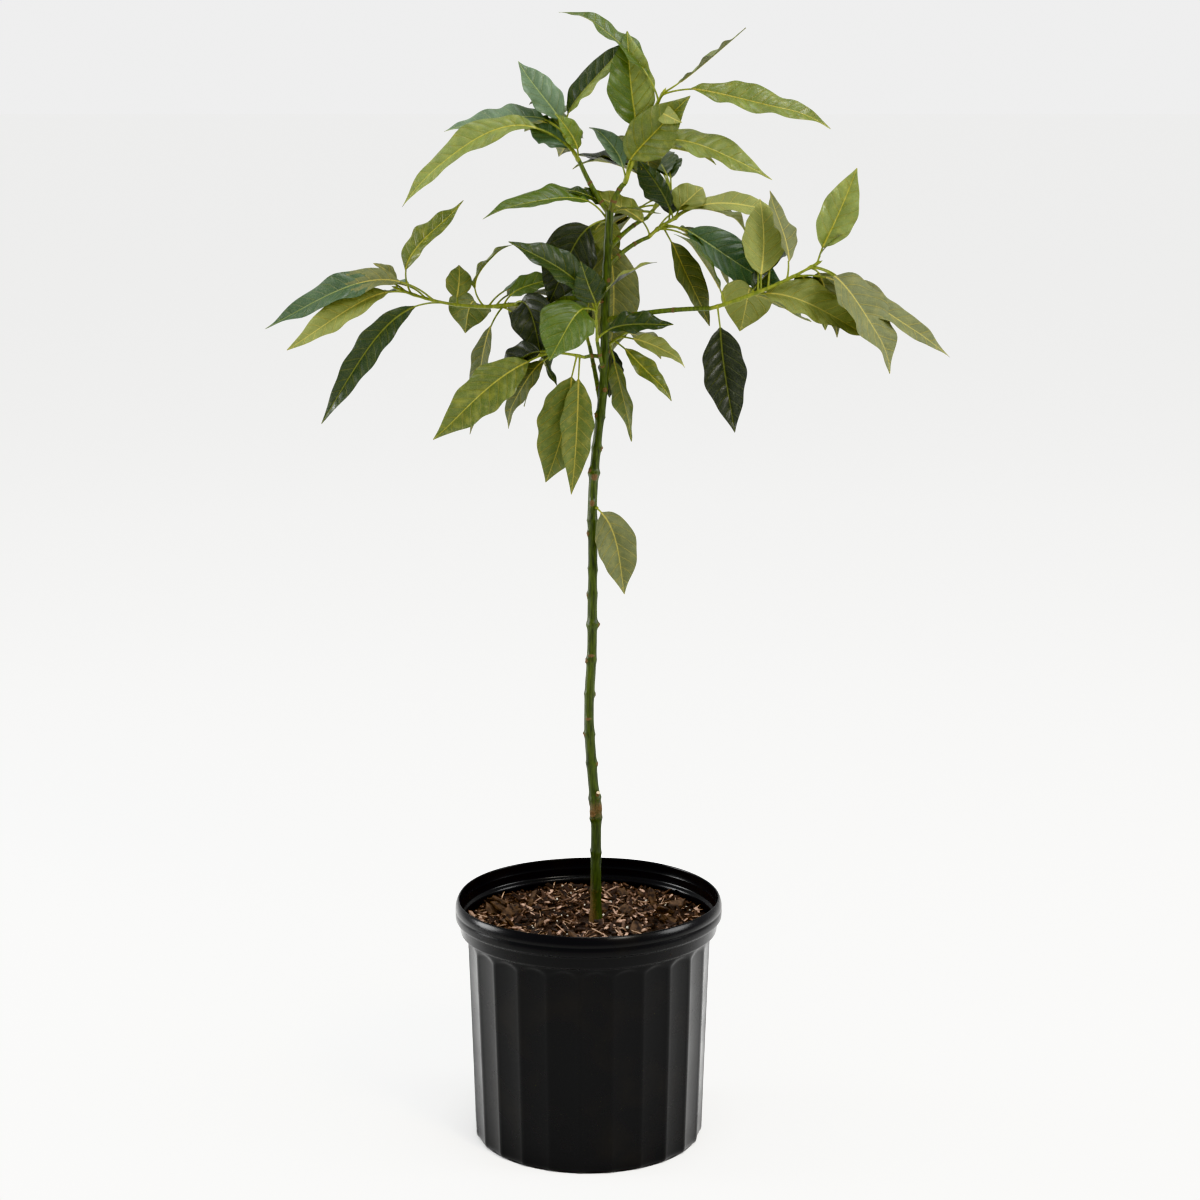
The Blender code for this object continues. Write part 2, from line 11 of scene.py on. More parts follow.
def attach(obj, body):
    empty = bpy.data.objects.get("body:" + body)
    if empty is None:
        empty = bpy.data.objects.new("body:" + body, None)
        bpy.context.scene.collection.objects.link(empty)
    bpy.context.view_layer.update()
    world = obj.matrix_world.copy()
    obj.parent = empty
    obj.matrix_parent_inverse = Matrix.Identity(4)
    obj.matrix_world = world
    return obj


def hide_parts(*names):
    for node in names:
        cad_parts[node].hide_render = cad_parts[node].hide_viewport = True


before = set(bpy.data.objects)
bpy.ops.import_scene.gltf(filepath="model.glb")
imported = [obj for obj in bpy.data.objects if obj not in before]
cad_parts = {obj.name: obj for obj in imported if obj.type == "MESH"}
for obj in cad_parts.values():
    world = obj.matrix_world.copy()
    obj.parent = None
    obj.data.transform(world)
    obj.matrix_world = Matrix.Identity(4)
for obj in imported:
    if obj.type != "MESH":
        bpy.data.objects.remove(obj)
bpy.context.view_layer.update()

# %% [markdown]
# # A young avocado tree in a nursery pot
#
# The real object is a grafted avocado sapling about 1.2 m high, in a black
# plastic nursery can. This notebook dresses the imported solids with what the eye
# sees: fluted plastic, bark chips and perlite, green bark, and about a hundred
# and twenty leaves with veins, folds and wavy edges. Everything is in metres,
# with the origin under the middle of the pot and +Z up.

MM = 0.001


def new_object(name, data):
    """Links a mesh, a camera or a lamp to the scene as an object."""
    thing = bpy.data.objects.new(name, data)
    bpy.context.collection.objects.link(thing)
    return thing


print("packed nodes:", sorted(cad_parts))

# %% [markdown]
# ## Camera and studio first
#
# A scene is easier to judge when the camera never moves. The lens and the place
# of the camera follow from two ellipses that the picture shows, the rim of the
# pot and its foot: their widths give the distance, their heights the tilt. A
# large pale floor and four soft lamps stand in for a photographer's white room.
# The view transform is the one made for showing products: it keeps a material's
# own colour, where the default one would wash the dark greens out.

# %% Camera
PICTURE = 1200
FOCAL_PX = 2792
EYE = Vector((0.0123, -2.8, 1.168))
LOOK_DOWN = math.radians(11.91)

camera_data = bpy.data.cameras.new("camera")
camera_data.sensor_width = 36.0
camera_data.lens = camera_data.sensor_width * FOCAL_PX / PICTURE
camera = new_object("camera", camera_data)
camera.location = EYE
camera.rotation_euler = (math.radians(90) - LOOK_DOWN, 0.0, 0.0)
bpy.context.scene.camera = camera
bpy.context.scene.view_settings.view_transform = "Khronos PBR Neutral"
print("lens of", round(camera_data.lens, 1), "mm")

# %% Colours, and one helper for every node


def hex_colour(code):
    """An sRGB hex colour, as linear red, green, blue and alpha."""
    values = [int(code[place:place + 2], 16) / 255 for place in (1, 3, 5)]
    linear = [v / 12.92 if v <= 0.04045 else ((v + 0.055) / 1.055) ** 2.4 for v in values]
    return (*linear, 1.0)


def fill(tree, node, inputs):
    """Gives inputs, by name or number, a value, a hex colour or a link to an output.
    A node that is given stands for its first output in use."""
    for key, value in inputs.items():
        if isinstance(value, bpy.types.Node):
            value = next(way for way in value.outputs if way.enabled)
        if isinstance(value, bpy.types.NodeSocket):
            tree.links.new(value, node.inputs[key])
        else:
            node.inputs[key].default_value = hex_colour(value) if isinstance(value, str) else value


def add_node(tree, kind, *values, **named):
    """Adds a node. Its kind may carry an operation, as in "Math ADD". Values fill the
    inputs in use, in order. A name with a capital is an input, any other a setting."""
    kind, _, operation = kind.partition(" ")
    settings = {key: value for key, value in named.items() if key[0].islower()}
    if operation:
        settings["operation"] = operation
    whole_name = kind.startswith(("Geometry", "Function"))
    node = tree.nodes.new(kind if whole_name else "ShaderNode" + kind)
    for key, value in settings.items():
        setattr(node, key, value)
    in_use = [place for place, socket in enumerate(node.inputs) if socket.enabled]
    fill(tree, node, dict(zip(in_use, values)))
    fill(tree, node, {key: value for key, value in named.items() if key not in settings})
    return node


def new_material(name):
    """A Principled material, with add_node for its tree and fill for its shader."""
    material = bpy.data.materials.new(name)
    material.use_nodes = True
    tree = material.node_tree
    return material, partial(add_node, tree), partial(fill, tree, tree.nodes["Principled BSDF"])

# %% Floor and lamps


def add_lamp(name, place, aim, size, power, colour):
    """A round soft lamp that looks at a point; size in metres, power in watts."""
    data = bpy.data.lights.new(name, "AREA")
    data.shape = "DISK"
    data.size = size
    data.energy = power
    data.color = hex_colour(colour)[:3]
    lamp = new_object(name, data)
    lamp.location = place
    lamp.rotation_euler = (Vector(aim) - Vector(place)).to_track_quat("-Z", "Y").to_euler()


add_lamp("key_lamp", (1.8, -2.6, 2.9), (0.0, 0.0, 0.9), 0.9, 66, "#fffaf2")
add_lamp("left_edge_lamp", (-2.4, 0.1, 0.9), (0.0, 0.0, 0.4), 1.1, 52, "#ffffff")
add_lamp("right_edge_lamp", (2.3, -0.3, 1.2), (0.0, 0.0, 0.5), 1.1, 34, "#ffffff")
add_lamp("top_lamp", (0.3, -0.4, 3.4), (0.0, 0.0, 0.9), 1.4, 44, "#fbfdff")

world = bpy.data.worlds.new("white_room")
bpy.context.scene.world = world
world.use_nodes = True
fill(world.node_tree, world.node_tree.nodes["Background"], {"Color": "#ffffff", "Strength": 1.0})

FLOOR_REACH = 30.0
floor_mesh = bpy.data.meshes.new("floor")
floor_mesh.from_pydata([(FLOOR_REACH * x, FLOOR_REACH * y, 0)
                        for x, y in ((-1, -1), (1, -1), (1, 1), (-1, 1))], [], [(0, 1, 2, 3)])
floor = new_object("floor", floor_mesh)
floor_paint, add, shade = new_material("white_backdrop_paint")
shade({"Base Color": "#fbfbfa", "Roughness": 0.9})
floor_mesh.materials.append(floor_paint)

# %% [markdown]
# ## Helpers for Geometry Nodes and for pieces
#
# What repeats, such as the flutes of the pot or the chips of bark, is made by
# Geometry Nodes. One helper makes a tree with named inputs. The next sets them
# by their identifiers, evaluates the object once and gives back a plain mesh.
# A third makes a mesh a piece, and two more join rings and turn a profile.

# %% Building and running a Geometry Nodes tree


def geometry_tree(name, inputs):
    """A tree with a geometry going in and out, and the named inputs (name, kind)."""
    tree = bpy.data.node_groups.new(name, "GeometryNodeTree")
    tree.interface.new_socket("Geometry", in_out="INPUT", socket_type="NodeSocketGeometry")
    tree.interface.new_socket("Geometry", in_out="OUTPUT", socket_type="NodeSocketGeometry")
    for label, kind in inputs:
        tree.interface.new_socket(label, in_out="INPUT", socket_type="NodeSocket" + kind)
    given, result = tree.nodes.new("NodeGroupInput").outputs, tree.nodes.new("NodeGroupOutput")
    return tree, partial(add_node, tree), given, partial(fill, tree, result)


def run_tree(carrier, tree, values):
    """Runs a tree on an object and returns the result as a plain mesh."""
    modifier = carrier.modifiers.new(tree.name, "NODES")
    modifier.node_group = tree
    for item in tree.interface.items_tree:
        if item.in_out == "INPUT" and item.name in values:
            modifier[item.identifier] = values[item.name]
    bpy.context.view_layer.update()
    graph = bpy.context.evaluated_depsgraph_get()
    mesh = bpy.data.meshes.new_from_object(carrier.evaluated_get(graph))
    carrier.modifiers.remove(modifier)
    return mesh


def add_piece(name, mesh, *materials):
    """Links a mesh as a piece of the object, on the body root."""
    piece = new_object(name, mesh)
    for material in materials:
        mesh.materials.append(material)
    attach(piece, "root")
    print(name, "has", sum(len(face.vertices) - 2 for face in mesh.polygons), "triangles")
    return piece

# %% Rings of points, and shapes turned from them


def joined(first, rings, sides):
    """Faces between closed rings of points, which are numbered on from first."""
    faces = []
    for start in range(first, first + (rings - 1) * sides, sides):
        for step in range(sides):
            here, beside = start + step, start + (step + 1) % sides
            faces.append((here, beside, beside + sides, here + sides))
    return faces


def turned_mesh(name, profile, sides):
    """A turned shape, closed at its first and last rows, which lie on the axis."""
    angles = [2 * math.pi * step / sides for step in range(sides)]
    points = [(radius * math.cos(angle), radius * math.sin(angle), height)
              for radius, height in profile[1:-1] for angle in angles]
    faces = joined(0, len(profile) - 2, sides)
    foot, head = len(points), len(points) + 1
    points += [(0.0, 0.0, profile[0][1]), (0.0, 0.0, profile[-1][1])]
    for step in range(sides):
        beside = (step + 1) % sides
        faces += [(foot, beside, step), (head, foot - sides + step, foot - sides + beside)]
    mesh = bpy.data.meshes.new(name)
    mesh.from_pydata(points, [], faces)
    mesh.shade_smooth()
    return mesh

# %% [markdown]
# ## The pot
#
# A nursery can is blow moulded from black polyethylene: a thin wall with a
# rolled rim, a collar under it, and two dozen shallow flutes that stiffen the
# side. The plain can is turned from its profile. A small tree then presses the
# flutes into the outer wall with the same arithmetic for every flute, which no
# one would want to draw by hand.

# %% Sizes and profile of the pot
POT_HEIGHT = 261 * MM
WALL_TOP_RADIUS = 128 * MM
WALL_TOP_HEIGHT = 222 * MM
BASE_RADIUS = 120.5 * MM
WALL_SLOPE = (WALL_TOP_RADIUS - BASE_RADIUS) / WALL_TOP_HEIGHT
WALL = 2.0 * MM
FLOOR = 3.0 * MM
BORE_TOP = 225
FLUTES = 24
FLUTE_DEPTH = 2.2 * MM
FLUTE_TURN = math.radians(11.3)
POT_SIDES = 288


def wall_radius(height):
    return BASE_RADIUS + (WALL_TOP_RADIUS - BASE_RADIUS) * height / WALL_TOP_HEIGHT


def bore_radius(height):
    return wall_radius(height) - FLUTE_DEPTH - WALL


# Rows are (radius, height) in mm, from the foot up the outside and down the inside
foot_rows = [(0, 0), (114.6, 0), (116.9, 0.4), (118.7, 1.5), (119.9, 3.1), (120.5, 5.2)]
wall_rows = [(wall_radius(h * MM) / MM, h) for h in
             (7, 9, 11, 13, 16, 20, *range(28, 198, 8), *range(199, 222, 2))]
collar_rows = [(128.1, 222.4), (128.6, 223.8), (130.2, 224.8), (133.2, 225.4), (134.5, 226.3),
               (135, 228), (135, 236.8), (135.3, 238.3), (136.6, 239.2), (138.8, 239.9),
               (139.8, 241), (140, 242.6), (140, 248.8), (139.5, 249.6), (139.6, 250.4),
               (140, 251.2), (139.9, 253.2), (139.5, 255.2), (138.9, 257.2), (138.2, 258.8),
               (137.5, 260.1), (136.9, 260.8), (136.3, 261)]
inner_rows = [(135.9, 260.8), (135.5, 260), (135.4, 258), (135.4, 250.8), (134.9, 249.6),
              (134.7, 248.4), (134.5, 242), (133.9, 240.3), (132.2, 239.2), (131.3, 238),
              (131, 234), (131, 228.6), (130.3, 227), (127.5, 226.2)]
inner_rows += [(bore_radius(BORE_TOP * MM) / MM, BORE_TOP), (bore_radius(FLOOR) / MM, 3), (0, 3)]
pot_rows = foot_rows + wall_rows + collar_rows + inner_rows
pot_blank = new_object("pot_blank", turned_mesh(
    "pot_blank", [(r * MM, h * MM) for r, h in pot_rows], POT_SIDES))
print("profile rows:", len(pot_rows))

# %% [markdown]
# The tree reads each point's angle and height. Inside a flute the point moves
# towards the axis by the depth times a half sine wave, raised to a power below
# one so that the ridges between flutes stay narrow. Near the top each flute
# ends in a round arch, and near the foot it runs out in a small radius.

# %% The tree that presses the flutes
flute_tree, add, given, give_back = geometry_tree("press_flutes", (
    ("Flutes", "Float"), ("Depth", "Float"), ("Turn", "Float"), ("Top", "Float"),
    ("Arch", "Float"), ("Foot", "Float"), ("Plastic", "Material")))
axes = add("SeparateXYZ", add("GeometryNodeInputPosition")).outputs
flat = add("CombineXYZ", axes[0], axes[1])
angle = add("Math SUBTRACT", add("Math ARCTAN2", axes[1], axes[0]), given["Turn"])
turns = add("Math MULTIPLY", angle, add("Math DIVIDE", given["Flutes"], 2 * math.pi))
bow = add("Math SINE", add("Math MULTIPLY", add("Math FLOORED_MODULO", turns, 1.0), math.pi))
arch = add("Math SUBTRACT", 1.0, add("Math POWER", bow, 0.5))
top = add("Math SUBTRACT", given["Top"], add("Math MULTIPLY", given["Arch"], arch))
below_top = add("MapRange", add("Math SUBTRACT", top, axes[2]), -0.5 * MM, 2.5 * MM,
                interpolation_type="SMOOTHSTEP")
above_foot = add("MapRange", add("Math SUBTRACT", axes[2], given["Foot"]), -2.0 * MM, 2.0 * MM,
                 interpolation_type="SMOOTHSTEP")
bore = add("Math ADD", BASE_RADIUS - FLUTE_DEPTH, add("Math MULTIPLY", axes[2], WALL_SLOPE))
outside = add("Math GREATER_THAN", add("VectorMath LENGTH", flat), bore)
depth = add("Math MULTIPLY", add("Math MULTIPLY", add("Math POWER", bow, 0.7), given["Depth"]),
            add("Math MULTIPLY", outside, add("Math MULTIPLY", below_top, above_foot)))
move = add("VectorMath SCALE", add("VectorMath NORMALIZE", flat), add("Math MULTIPLY", depth, -1.0))
pressed = add("GeometryNodeSetPosition", Geometry=given[0], Offset=move)
painted = add("GeometryNodeSetMaterial", Geometry=pressed, Material=given["Plastic"])
give_back({0: add("GeometryNodeRealizeInstances", painted)})
print("flute tree:", len(flute_tree.nodes), "nodes")

# %% [markdown]
# Blow-moulded polyethylene is satin black. An orange-peel skin breaks up its
# highlights, its gloss drifts in soft clouds, and a little brown dust from the
# potting bench clings to it. Its IOR is about 1.5.

# %% Blow-moulded polyethylene
pot_plastic, add, shade = new_material("blow_moulded_polyethylene")
where = add("TexCoord").outputs["Object"]
cloud = add("TexNoise", Vector=where, Scale=22.0, Detail=5.0)
dust = add("MapRange", cloud, 0.52, 0.8, 0.0, 0.5)
peel = add("TexNoise", Vector=where, Scale=620.0, Detail=2.0)
shade({"Base Color": add("Mix", dust, "#060607", "#15120f", data_type="RGBA"),
       "Roughness": add("MapRange", cloud, 0.3, 0.75, 0.2, 0.34),
       "Normal": add("Bump", Strength=0.3, Distance=0.1 * MM, Height=peel),
       "IOR": 1.51, "Specular IOR Level": 0.2})

# %% The finished pot
DENT = 1.2 * MM
pot_mesh = run_tree(pot_blank, flute_tree, {
    "Flutes": float(FLUTES), "Depth": FLUTE_DEPTH, "Turn": FLUTE_TURN, "Top": 221 * MM,
    "Arch": 9 * MM, "Foot": 0.5 * MM, "Plastic": pot_plastic})
bpy.data.objects.remove(pot_blank, do_unlink=True)
for corner in pot_mesh.vertices:
    turn = math.atan2(corner.co.y, corner.co.x)
    rise = max(corner.co.z / POT_HEIGHT, 0.0) ** 3
    give = DENT * rise * (math.sin(2 * turn + 0.6) + 0.6 * math.sin(5 * turn + 2.1) - 0.8)
    corner.co.x += give * math.cos(turn)
    corner.co.y += give * math.sin(turn)
pot = add_piece("nursery_pot", pot_mesh)
pot_mesh.shade_smooth()
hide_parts("pot")

# %% [markdown]
# ## The potting mix
#
# Nursery mix is composted bark with perlite: nearly black fines, flat brown
# chips and shards up to 34 mm long, pale tan fibres and crumbs of white perlite.
# The fines are one rough surface. The chips, fibres and crumbs lie on it, some
# 2,500 of them, scattered by one tree that serves every kind.

# %% Fines: the dark rough ground of the mix
MIX_HEIGHT = 232.5 * MM
MIX_RELIEF = 1.6 * MM
MIX_EDGE = 130.4 * MM
MIX_SHOULDER = 228 * MM
MIX_RINGS = 60
MIX_SIDES = 180
SEAT = 0.3 * MM
TRUNK_FOOT = Vector((8 * MM, 0.0, 0.0))


def mix_height(x, y):
    """The mound that the solid has, with the clods that a hand leaves in it."""
    lumps = math.sin(x * 95 + 1.3) * math.cos(y * 83 - 0.7) + 0.6 * math.sin((x - y) * 160)
    clods = noise.noise(Vector((x, y, 0.0)) * 70) * 2.2 + noise.noise(Vector((x, y, 0.3)) * 210)
    away = min(math.hypot(x - TRUNK_FOOT.x, y) / (30 * MM), 1.0)
    edge = max((math.hypot(x, y) - 118 * MM) / (12 * MM), 0.0)
    return MIX_HEIGHT + MIX_RELIEF * (0.5 * lumps + clods * away) - 3.0 * MM * edge ** 2


mix_rows = [(0, FLOOR + SEAT), (bore_radius(FLOOR) - SEAT, FLOOR + SEAT),
            (bore_radius(BORE_TOP * MM) - SEAT, 225.5 * MM), (MIX_EDGE, 227.5 * MM)]
mix_rows += [(MIX_EDGE * ring / MIX_RINGS, MIX_HEIGHT) for ring in range(MIX_RINGS, 0, -1)]
mix_mesh = turned_mesh("potting_mix_fines", mix_rows + [(0, MIX_HEIGHT)], MIX_SIDES)
for corner in mix_mesh.vertices:
    if corner.co.z > MIX_SHOULDER:
        corner.co.z = mix_height(corner.co.x, corner.co.y)

# %% [markdown]
# Composted bark fines are dark brown to black and fully rough. Two sizes of
# noise, 9 mm for damp and dry patches and 2 mm for grains, keep it from looking
# like one coat of paint.

# %% Composted bark fines
fines, add, shade = new_material("composted_bark_fines")
where = add("TexCoord").outputs["Object"]
patch = add("TexNoise", Vector=where, Scale=110.0, Detail=6.0, Roughness=0.7)
damp = add("MapRange", patch, 0.38, 0.72)
grain = add("TexVoronoi", Vector=where, Scale=520.0)
shade({"Base Color": add("Mix", damp, "#0f0b08", "#3a291e", data_type="RGBA"), "Roughness": 0.95,
       "Normal": add("Bump", Strength=1.0, Distance=1.2 * MM, Height=grain)})
mix_top = new_object("mix_top", mix_mesh.copy())
mix = add_piece("potting_mix_fines", mix_mesh, fines)
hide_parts("potting_mix")

# %% [markdown]
# A chip, a fibre and a crumb each need only two dozen faces, because each
# shape is repeated many times. A chip is a flat box with its corners pushed
# about by a seeded chance, as bark breaks along its layers.

# %% One chip, one fibre and one crumb


def rough_box(name, size, push, seed):
    """A box with rounded, shaken corners; size gives its sides, with a length of 1."""
    chance = random.Random(seed)
    work = bmesh.new()
    bmesh.ops.create_cube(work, size=1.0)
    bmesh.ops.subdivide_edges(work, edges=work.edges, cuts=1, use_grid_fill=True)
    for corner in work.verts:
        pull = 1.0 - 0.22 * (corner.co.length / 0.87) ** 3
        shake = Vector([chance.uniform(-push, push) for _ in range(3)])
        corner.co = Vector((c * s for c, s in zip(corner.co * pull + shake, size)))
    mesh = bpy.data.meshes.new(name)
    work.to_mesh(mesh)
    work.free()
    return new_object(name, mesh)


samples = {"chip": rough_box("chip", (1.0, 0.62, 0.2), 0.13, 4),
           "sliver": rough_box("sliver", (1.0, 0.3, 0.14), 0.12, 9),
           "fibre": rough_box("fibre", (1.0, 0.06, 0.05), 0.16, 2),
           "crumb": rough_box("crumb", (1.0, 0.9, 0.8), 0.14, 7)}

# %% The tree that scatters
LITTER_FLOOR = 229 * MM
scatter_tree, add, given, give_back = geometry_tree("scatter_on_mix", (
    ("Sample", "Object"), ("Density", "Float"), ("Smallest", "Float"), ("Largest", "Float"),
    ("Tilt", "Float"), ("Sink", "Float"), ("Inner", "Float"), ("Reach", "Float"), ("Seed", "Int"),
    ("Finish", "Material")))
axes = add("SeparateXYZ", add("GeometryNodeInputPosition")).outputs
reach = add("VectorMath LENGTH", add("CombineXYZ", axes[0], axes[1]))
ring = add("Math MULTIPLY", add("Math LESS_THAN", reach, given["Reach"]),
           add("Math GREATER_THAN", reach, given["Inner"]))
open_top = add("Math MULTIPLY", ring, add("Math GREATER_THAN", axes[2], LITTER_FLOOR))
dots = add("GeometryNodeDistributePointsOnFaces", Mesh=given[0], Selection=open_top,
           Density=given["Density"], Seed=given["Seed"])
back = add("Math MULTIPLY", given["Tilt"], -1.0)
low_turn = add("CombineXYZ", back, back, -math.pi)
high_turn = add("CombineXYZ", given["Tilt"], given["Tilt"], math.pi)
turn = add("FunctionNodeRandomValue", low_turn, high_turn, Seed=given["Seed"],
           data_type="FLOAT_VECTOR")
length = add("FunctionNodeRandomValue", given["Smallest"], given["Largest"], Seed=given["Seed"],
             data_type="FLOAT")
model = add("GeometryNodeObjectInfo", Object=given["Sample"]).outputs["Geometry"]
laid = add("GeometryNodeInstanceOnPoints", Points=dots, Instance=model, Rotation=turn, Scale=length)
lift = add("CombineXYZ", 0.0, 0.0, given["Sink"])
lifted = add("GeometryNodeTranslateInstances", laid, Translation=lift, **{"Local Space": False})
whole = add("GeometryNodeRealizeInstances", lifted)
give_back({0: add("GeometryNodeSetMaterial", Geometry=whole, Material=given["Finish"])})
print("scatter tree:", len(scatter_tree.nodes), "nodes")

# %% [markdown]
# Chips range from nearly black to a dry grey-brown. Perlite is expanded
# volcanic glass: chalky and cream with a little dirt. Coir fibre is tan and
# dull. In each, a coarse noise moves the colour from chip to chip.

# %% Finishes of the chips, fibres and perlite


def crumb_finish(name, dark, light, size):
    """A dull two-colour finish whose noise has patches of a real size."""
    material, add, shade = new_material(name)
    where = add("TexCoord").outputs["Object"]
    patch = add("TexNoise", Vector=where, Scale=1 / size, Detail=5.0)
    spread = add("MapRange", patch, 0.36, 0.66)
    grain = add("TexNoise", Vector=where, Scale=900.0)
    shade({"Base Color": add("Mix", spread, dark, light, data_type="RGBA"), "Roughness": 0.9,
           "Normal": add("Bump", Strength=0.6, Distance=0.3 * MM, Height=grain)})
    return material


dark_bark = crumb_finish("wet_pine_bark", "#0f0b09", "#33261f", 9 * MM)
brown_bark = crumb_finish("composted_pine_bark", "#281c16", "#634d3f", 7 * MM)
shard_bark = crumb_finish("damp_pine_bark", "#1a120e", "#54402f", 6 * MM)
dry_bark = crumb_finish("weathered_pine_bark", "#73594a", "#bd9f8b", 8 * MM)
coir = crumb_finish("coir_fibre", "#7a5f4c", "#c2a58c", 14 * MM)
perlite = crumb_finish("perlite", "#a39c8c", "#e6e1d4", 6 * MM)

# %% Scattering them
# name, sample, density in pieces to the square metre, least and greatest length,
# tilt in radians, lift, inner and outer reach, seed and finish; lengths in mm
litter = (
    ("dark_chips", "chip", 15000, 3, 9, 0.9, 0.4, 12, 129, 11, dark_bark),
    ("brown_chips", "chip", 9000, 2.5, 7, 0.9, 0.9, 12, 129, 17, brown_bark),
    ("dry_chips", "chip", 4600, 2.5, 6, 0.9, 1.4, 14, 127, 29, dry_bark),
    ("dark_slivers", "sliver", 6500, 6, 16, 0.8, 1.8, 14, 122, 5, dark_bark),
    ("brown_slivers", "sliver", 5200, 5, 15, 0.8, 2.0, 14, 122, 41, brown_bark),
    ("dry_slivers", "sliver", 2600, 6, 14, 0.6, 2.2, 14, 122, 43, dry_bark),
    ("large_chips", "chip", 300, 14, 24, 0.7, 3.4, 26, 112, 23, shard_bark),
    ("bark_shards", "sliver", 330, 22, 34, 1.0, 5.5, 66, 104, 12, shard_bark),
    ("coir_fibres", "fibre", 3000, 7, 20, 0.5, 2.6, 12, 122, 3, coir),
    ("perlite_crumbs", "crumb", 1300, 1.2, 3.0, 1.5, 1.6, 12, 127, 8, perlite),
)
for name, sample, density, least, most, tilt, sink, inner, reach_out, seed, finish in litter:
    scattered = run_tree(mix_top, scatter_tree, {
        "Sample": samples[sample], "Density": float(density), "Smallest": least * MM,
        "Largest": most * MM, "Tilt": tilt, "Sink": sink * MM, "Inner": inner * MM,
        "Reach": reach_out * MM, "Seed": seed, "Finish": finish})
    add_piece(name, scattered)
for helper in (mix_top, *samples.values()):
    bpy.data.objects.remove(helper, do_unlink=True)

# %% [markdown]
# ## The rule that the tree grows by
#
# A plant repeats one rule: a limb ends, a stem grows on from it, and leaves
# leave the stem at its nodes. The same rule, with the same sizes in
# millimetres, shaped the solids. It is written out again here, so that every
# fine leaf grows in the place of its plain solid leaf.

# %% The trunk's middle line and radius
TRUNK_BENDS = ((233, 8), (300, 8), (352, 8), (395, 4), (460, 1), (530, 4), (620, 5),
               (690, 5), (745, 10), (802, 16), (890, 18), (973, 22))
TRUNK_FOOT_RADIUS = 5.2 * MM
TRUNK_TIP_RADIUS = 3.6 * MM
ROOT_FLARE = 2.2 * MM
ROOT_FLARE_HEIGHT = 11 * MM
TRUNK_SWELLINGS = ((357, 1.5, 14), (552, 0.9, 4), (709, 0.8, 4), (817, 0.7, 4), (917, 0.8, 5))
TRUNK_FOOT_HEIGHT = MIX_HEIGHT - 1 * MM + SEAT
BARK = 0.4 * MM


def vector(millimetres):
    return Vector(millimetres) * MM


def bend(start, middle, end, t):
    """A point of the curve that leaves start towards middle and ends at end."""
    return start * (1 - t) ** 2 + middle * 2 * t * (1 - t) + end * t * t


def smooth_row(rows, t):
    """A smooth curve through evenly numbered rows, t from 0 to 1."""
    place = t * (len(rows) - 1)
    index = min(int(place), len(rows) - 2)
    local = place - index
    before = rows[max(index - 1, 0)]
    after = rows[min(index + 2, len(rows) - 1)]
    here, there = rows[index], rows[index + 1]
    return [b + 0.5 * local * (c - a + local * (2 * a - 5 * b + 4 * c - d
            + local * (3 * (b - c) + d - a))) for a, b, c, d in zip(before, here, there, after)]


def walk(line, steps):
    """Points at equal steps along a line."""
    return [line(step / steps) for step in range(steps + 1)]


def trunk_middle(t):
    """A point of the trunk's middle line, from its foot at 0 to its fork at 1."""
    height, right = smooth_row(TRUNK_BENDS, t)
    return Vector((right * MM, 0.0, height * MM))


def trunk_at(height):
    """The trunk's middle at a height in mm."""
    low, high = 0.0, 1.0
    for _ in range(30):
        half = (low + high) / 2
        if trunk_middle(half).z < height * MM:
            low = half
        else:
            high = half
    return trunk_middle(low)


def trunk_radius(height):
    """The plain trunk's radius at a height in metres: taper, root flare, swellings."""
    foot, tip = TRUNK_BENDS[0][0] * MM, TRUNK_BENDS[-1][0] * MM
    share = max((height - foot) / (tip - foot), 0.0)
    radius = TRUNK_FOOT_RADIUS + (TRUNK_TIP_RADIUS - TRUNK_FOOT_RADIUS) * share ** 1.4
    radius += ROOT_FLARE * math.exp(-(height - foot) / ROOT_FLARE_HEIGHT)
    for place, extra, half in TRUNK_SWELLINGS:
        radius += extra * MM * math.exp(-((height - place * MM) / (half * MM)) ** 2)
    return radius


print("trunk: foot", round(trunk_radius(TRUNK_BENDS[0][0] * MM) * 2000, 1), "mm across, tip",
      round(trunk_radius(TRUNK_BENDS[-1][0] * MM) * 2000, 1), "mm")

# %% [markdown]
# A limb is swept: rings of points are laid along its middle line, each turned
# with the line, and joined. One function makes every limb, stem and petiole.
# It asks a second function for the radius at each point and for how scarred the
# bark is there, so the relief of the bark is real geometry, and the scars'
# brown is kept as an attribute of the mesh.

# %% Sweeping a limb


class Surface:
    """Points, faces and point values that are gathered into one mesh."""

    def __init__(self):
        self.points, self.faces, self.scars = [], [], []

    def sweep(self, path, sides, skin):
        """Adds a closed tube; skin gives radius and scar at a ring's share and angle."""
        start = len(self.points)
        side = Vector((0.0, 1.0, 0.0))
        for index, middle in enumerate(path):
            ahead = path[min(index + 1, len(path) - 1)] - path[max(index - 1, 0)]
            ahead.normalize()
            side = (side - ahead * side.dot(ahead)).normalized()
            across = ahead.cross(side)
            for step in range(sides):
                angle = 2 * math.pi * step / sides
                radius, scar = skin(index / (len(path) - 1), angle)
                out = side * math.cos(angle) + across * math.sin(angle)
                self.points.append(middle + out * radius)
                self.scars.append(scar)
        self.faces += joined(start, len(path), sides)
        last = start + (len(path) - 1) * sides
        for cap, way in ((start, -1), (last, 1)):
            ring = list(range(cap, cap + sides))[::way]
            self.faces += [(ring[0], ring[step], ring[step + 1]) for step in range(1, sides - 1)]

    def mesh(self, name):
        made = bpy.data.meshes.new(name)
        made.from_pydata(self.points, [], self.faces)
        made.attributes.new("scar", "FLOAT", "POINT").data.foreach_set("value", self.scars)
        made.shade_smooth()
        made.set_sharp_from_angle(angle=math.radians(50))
        return made


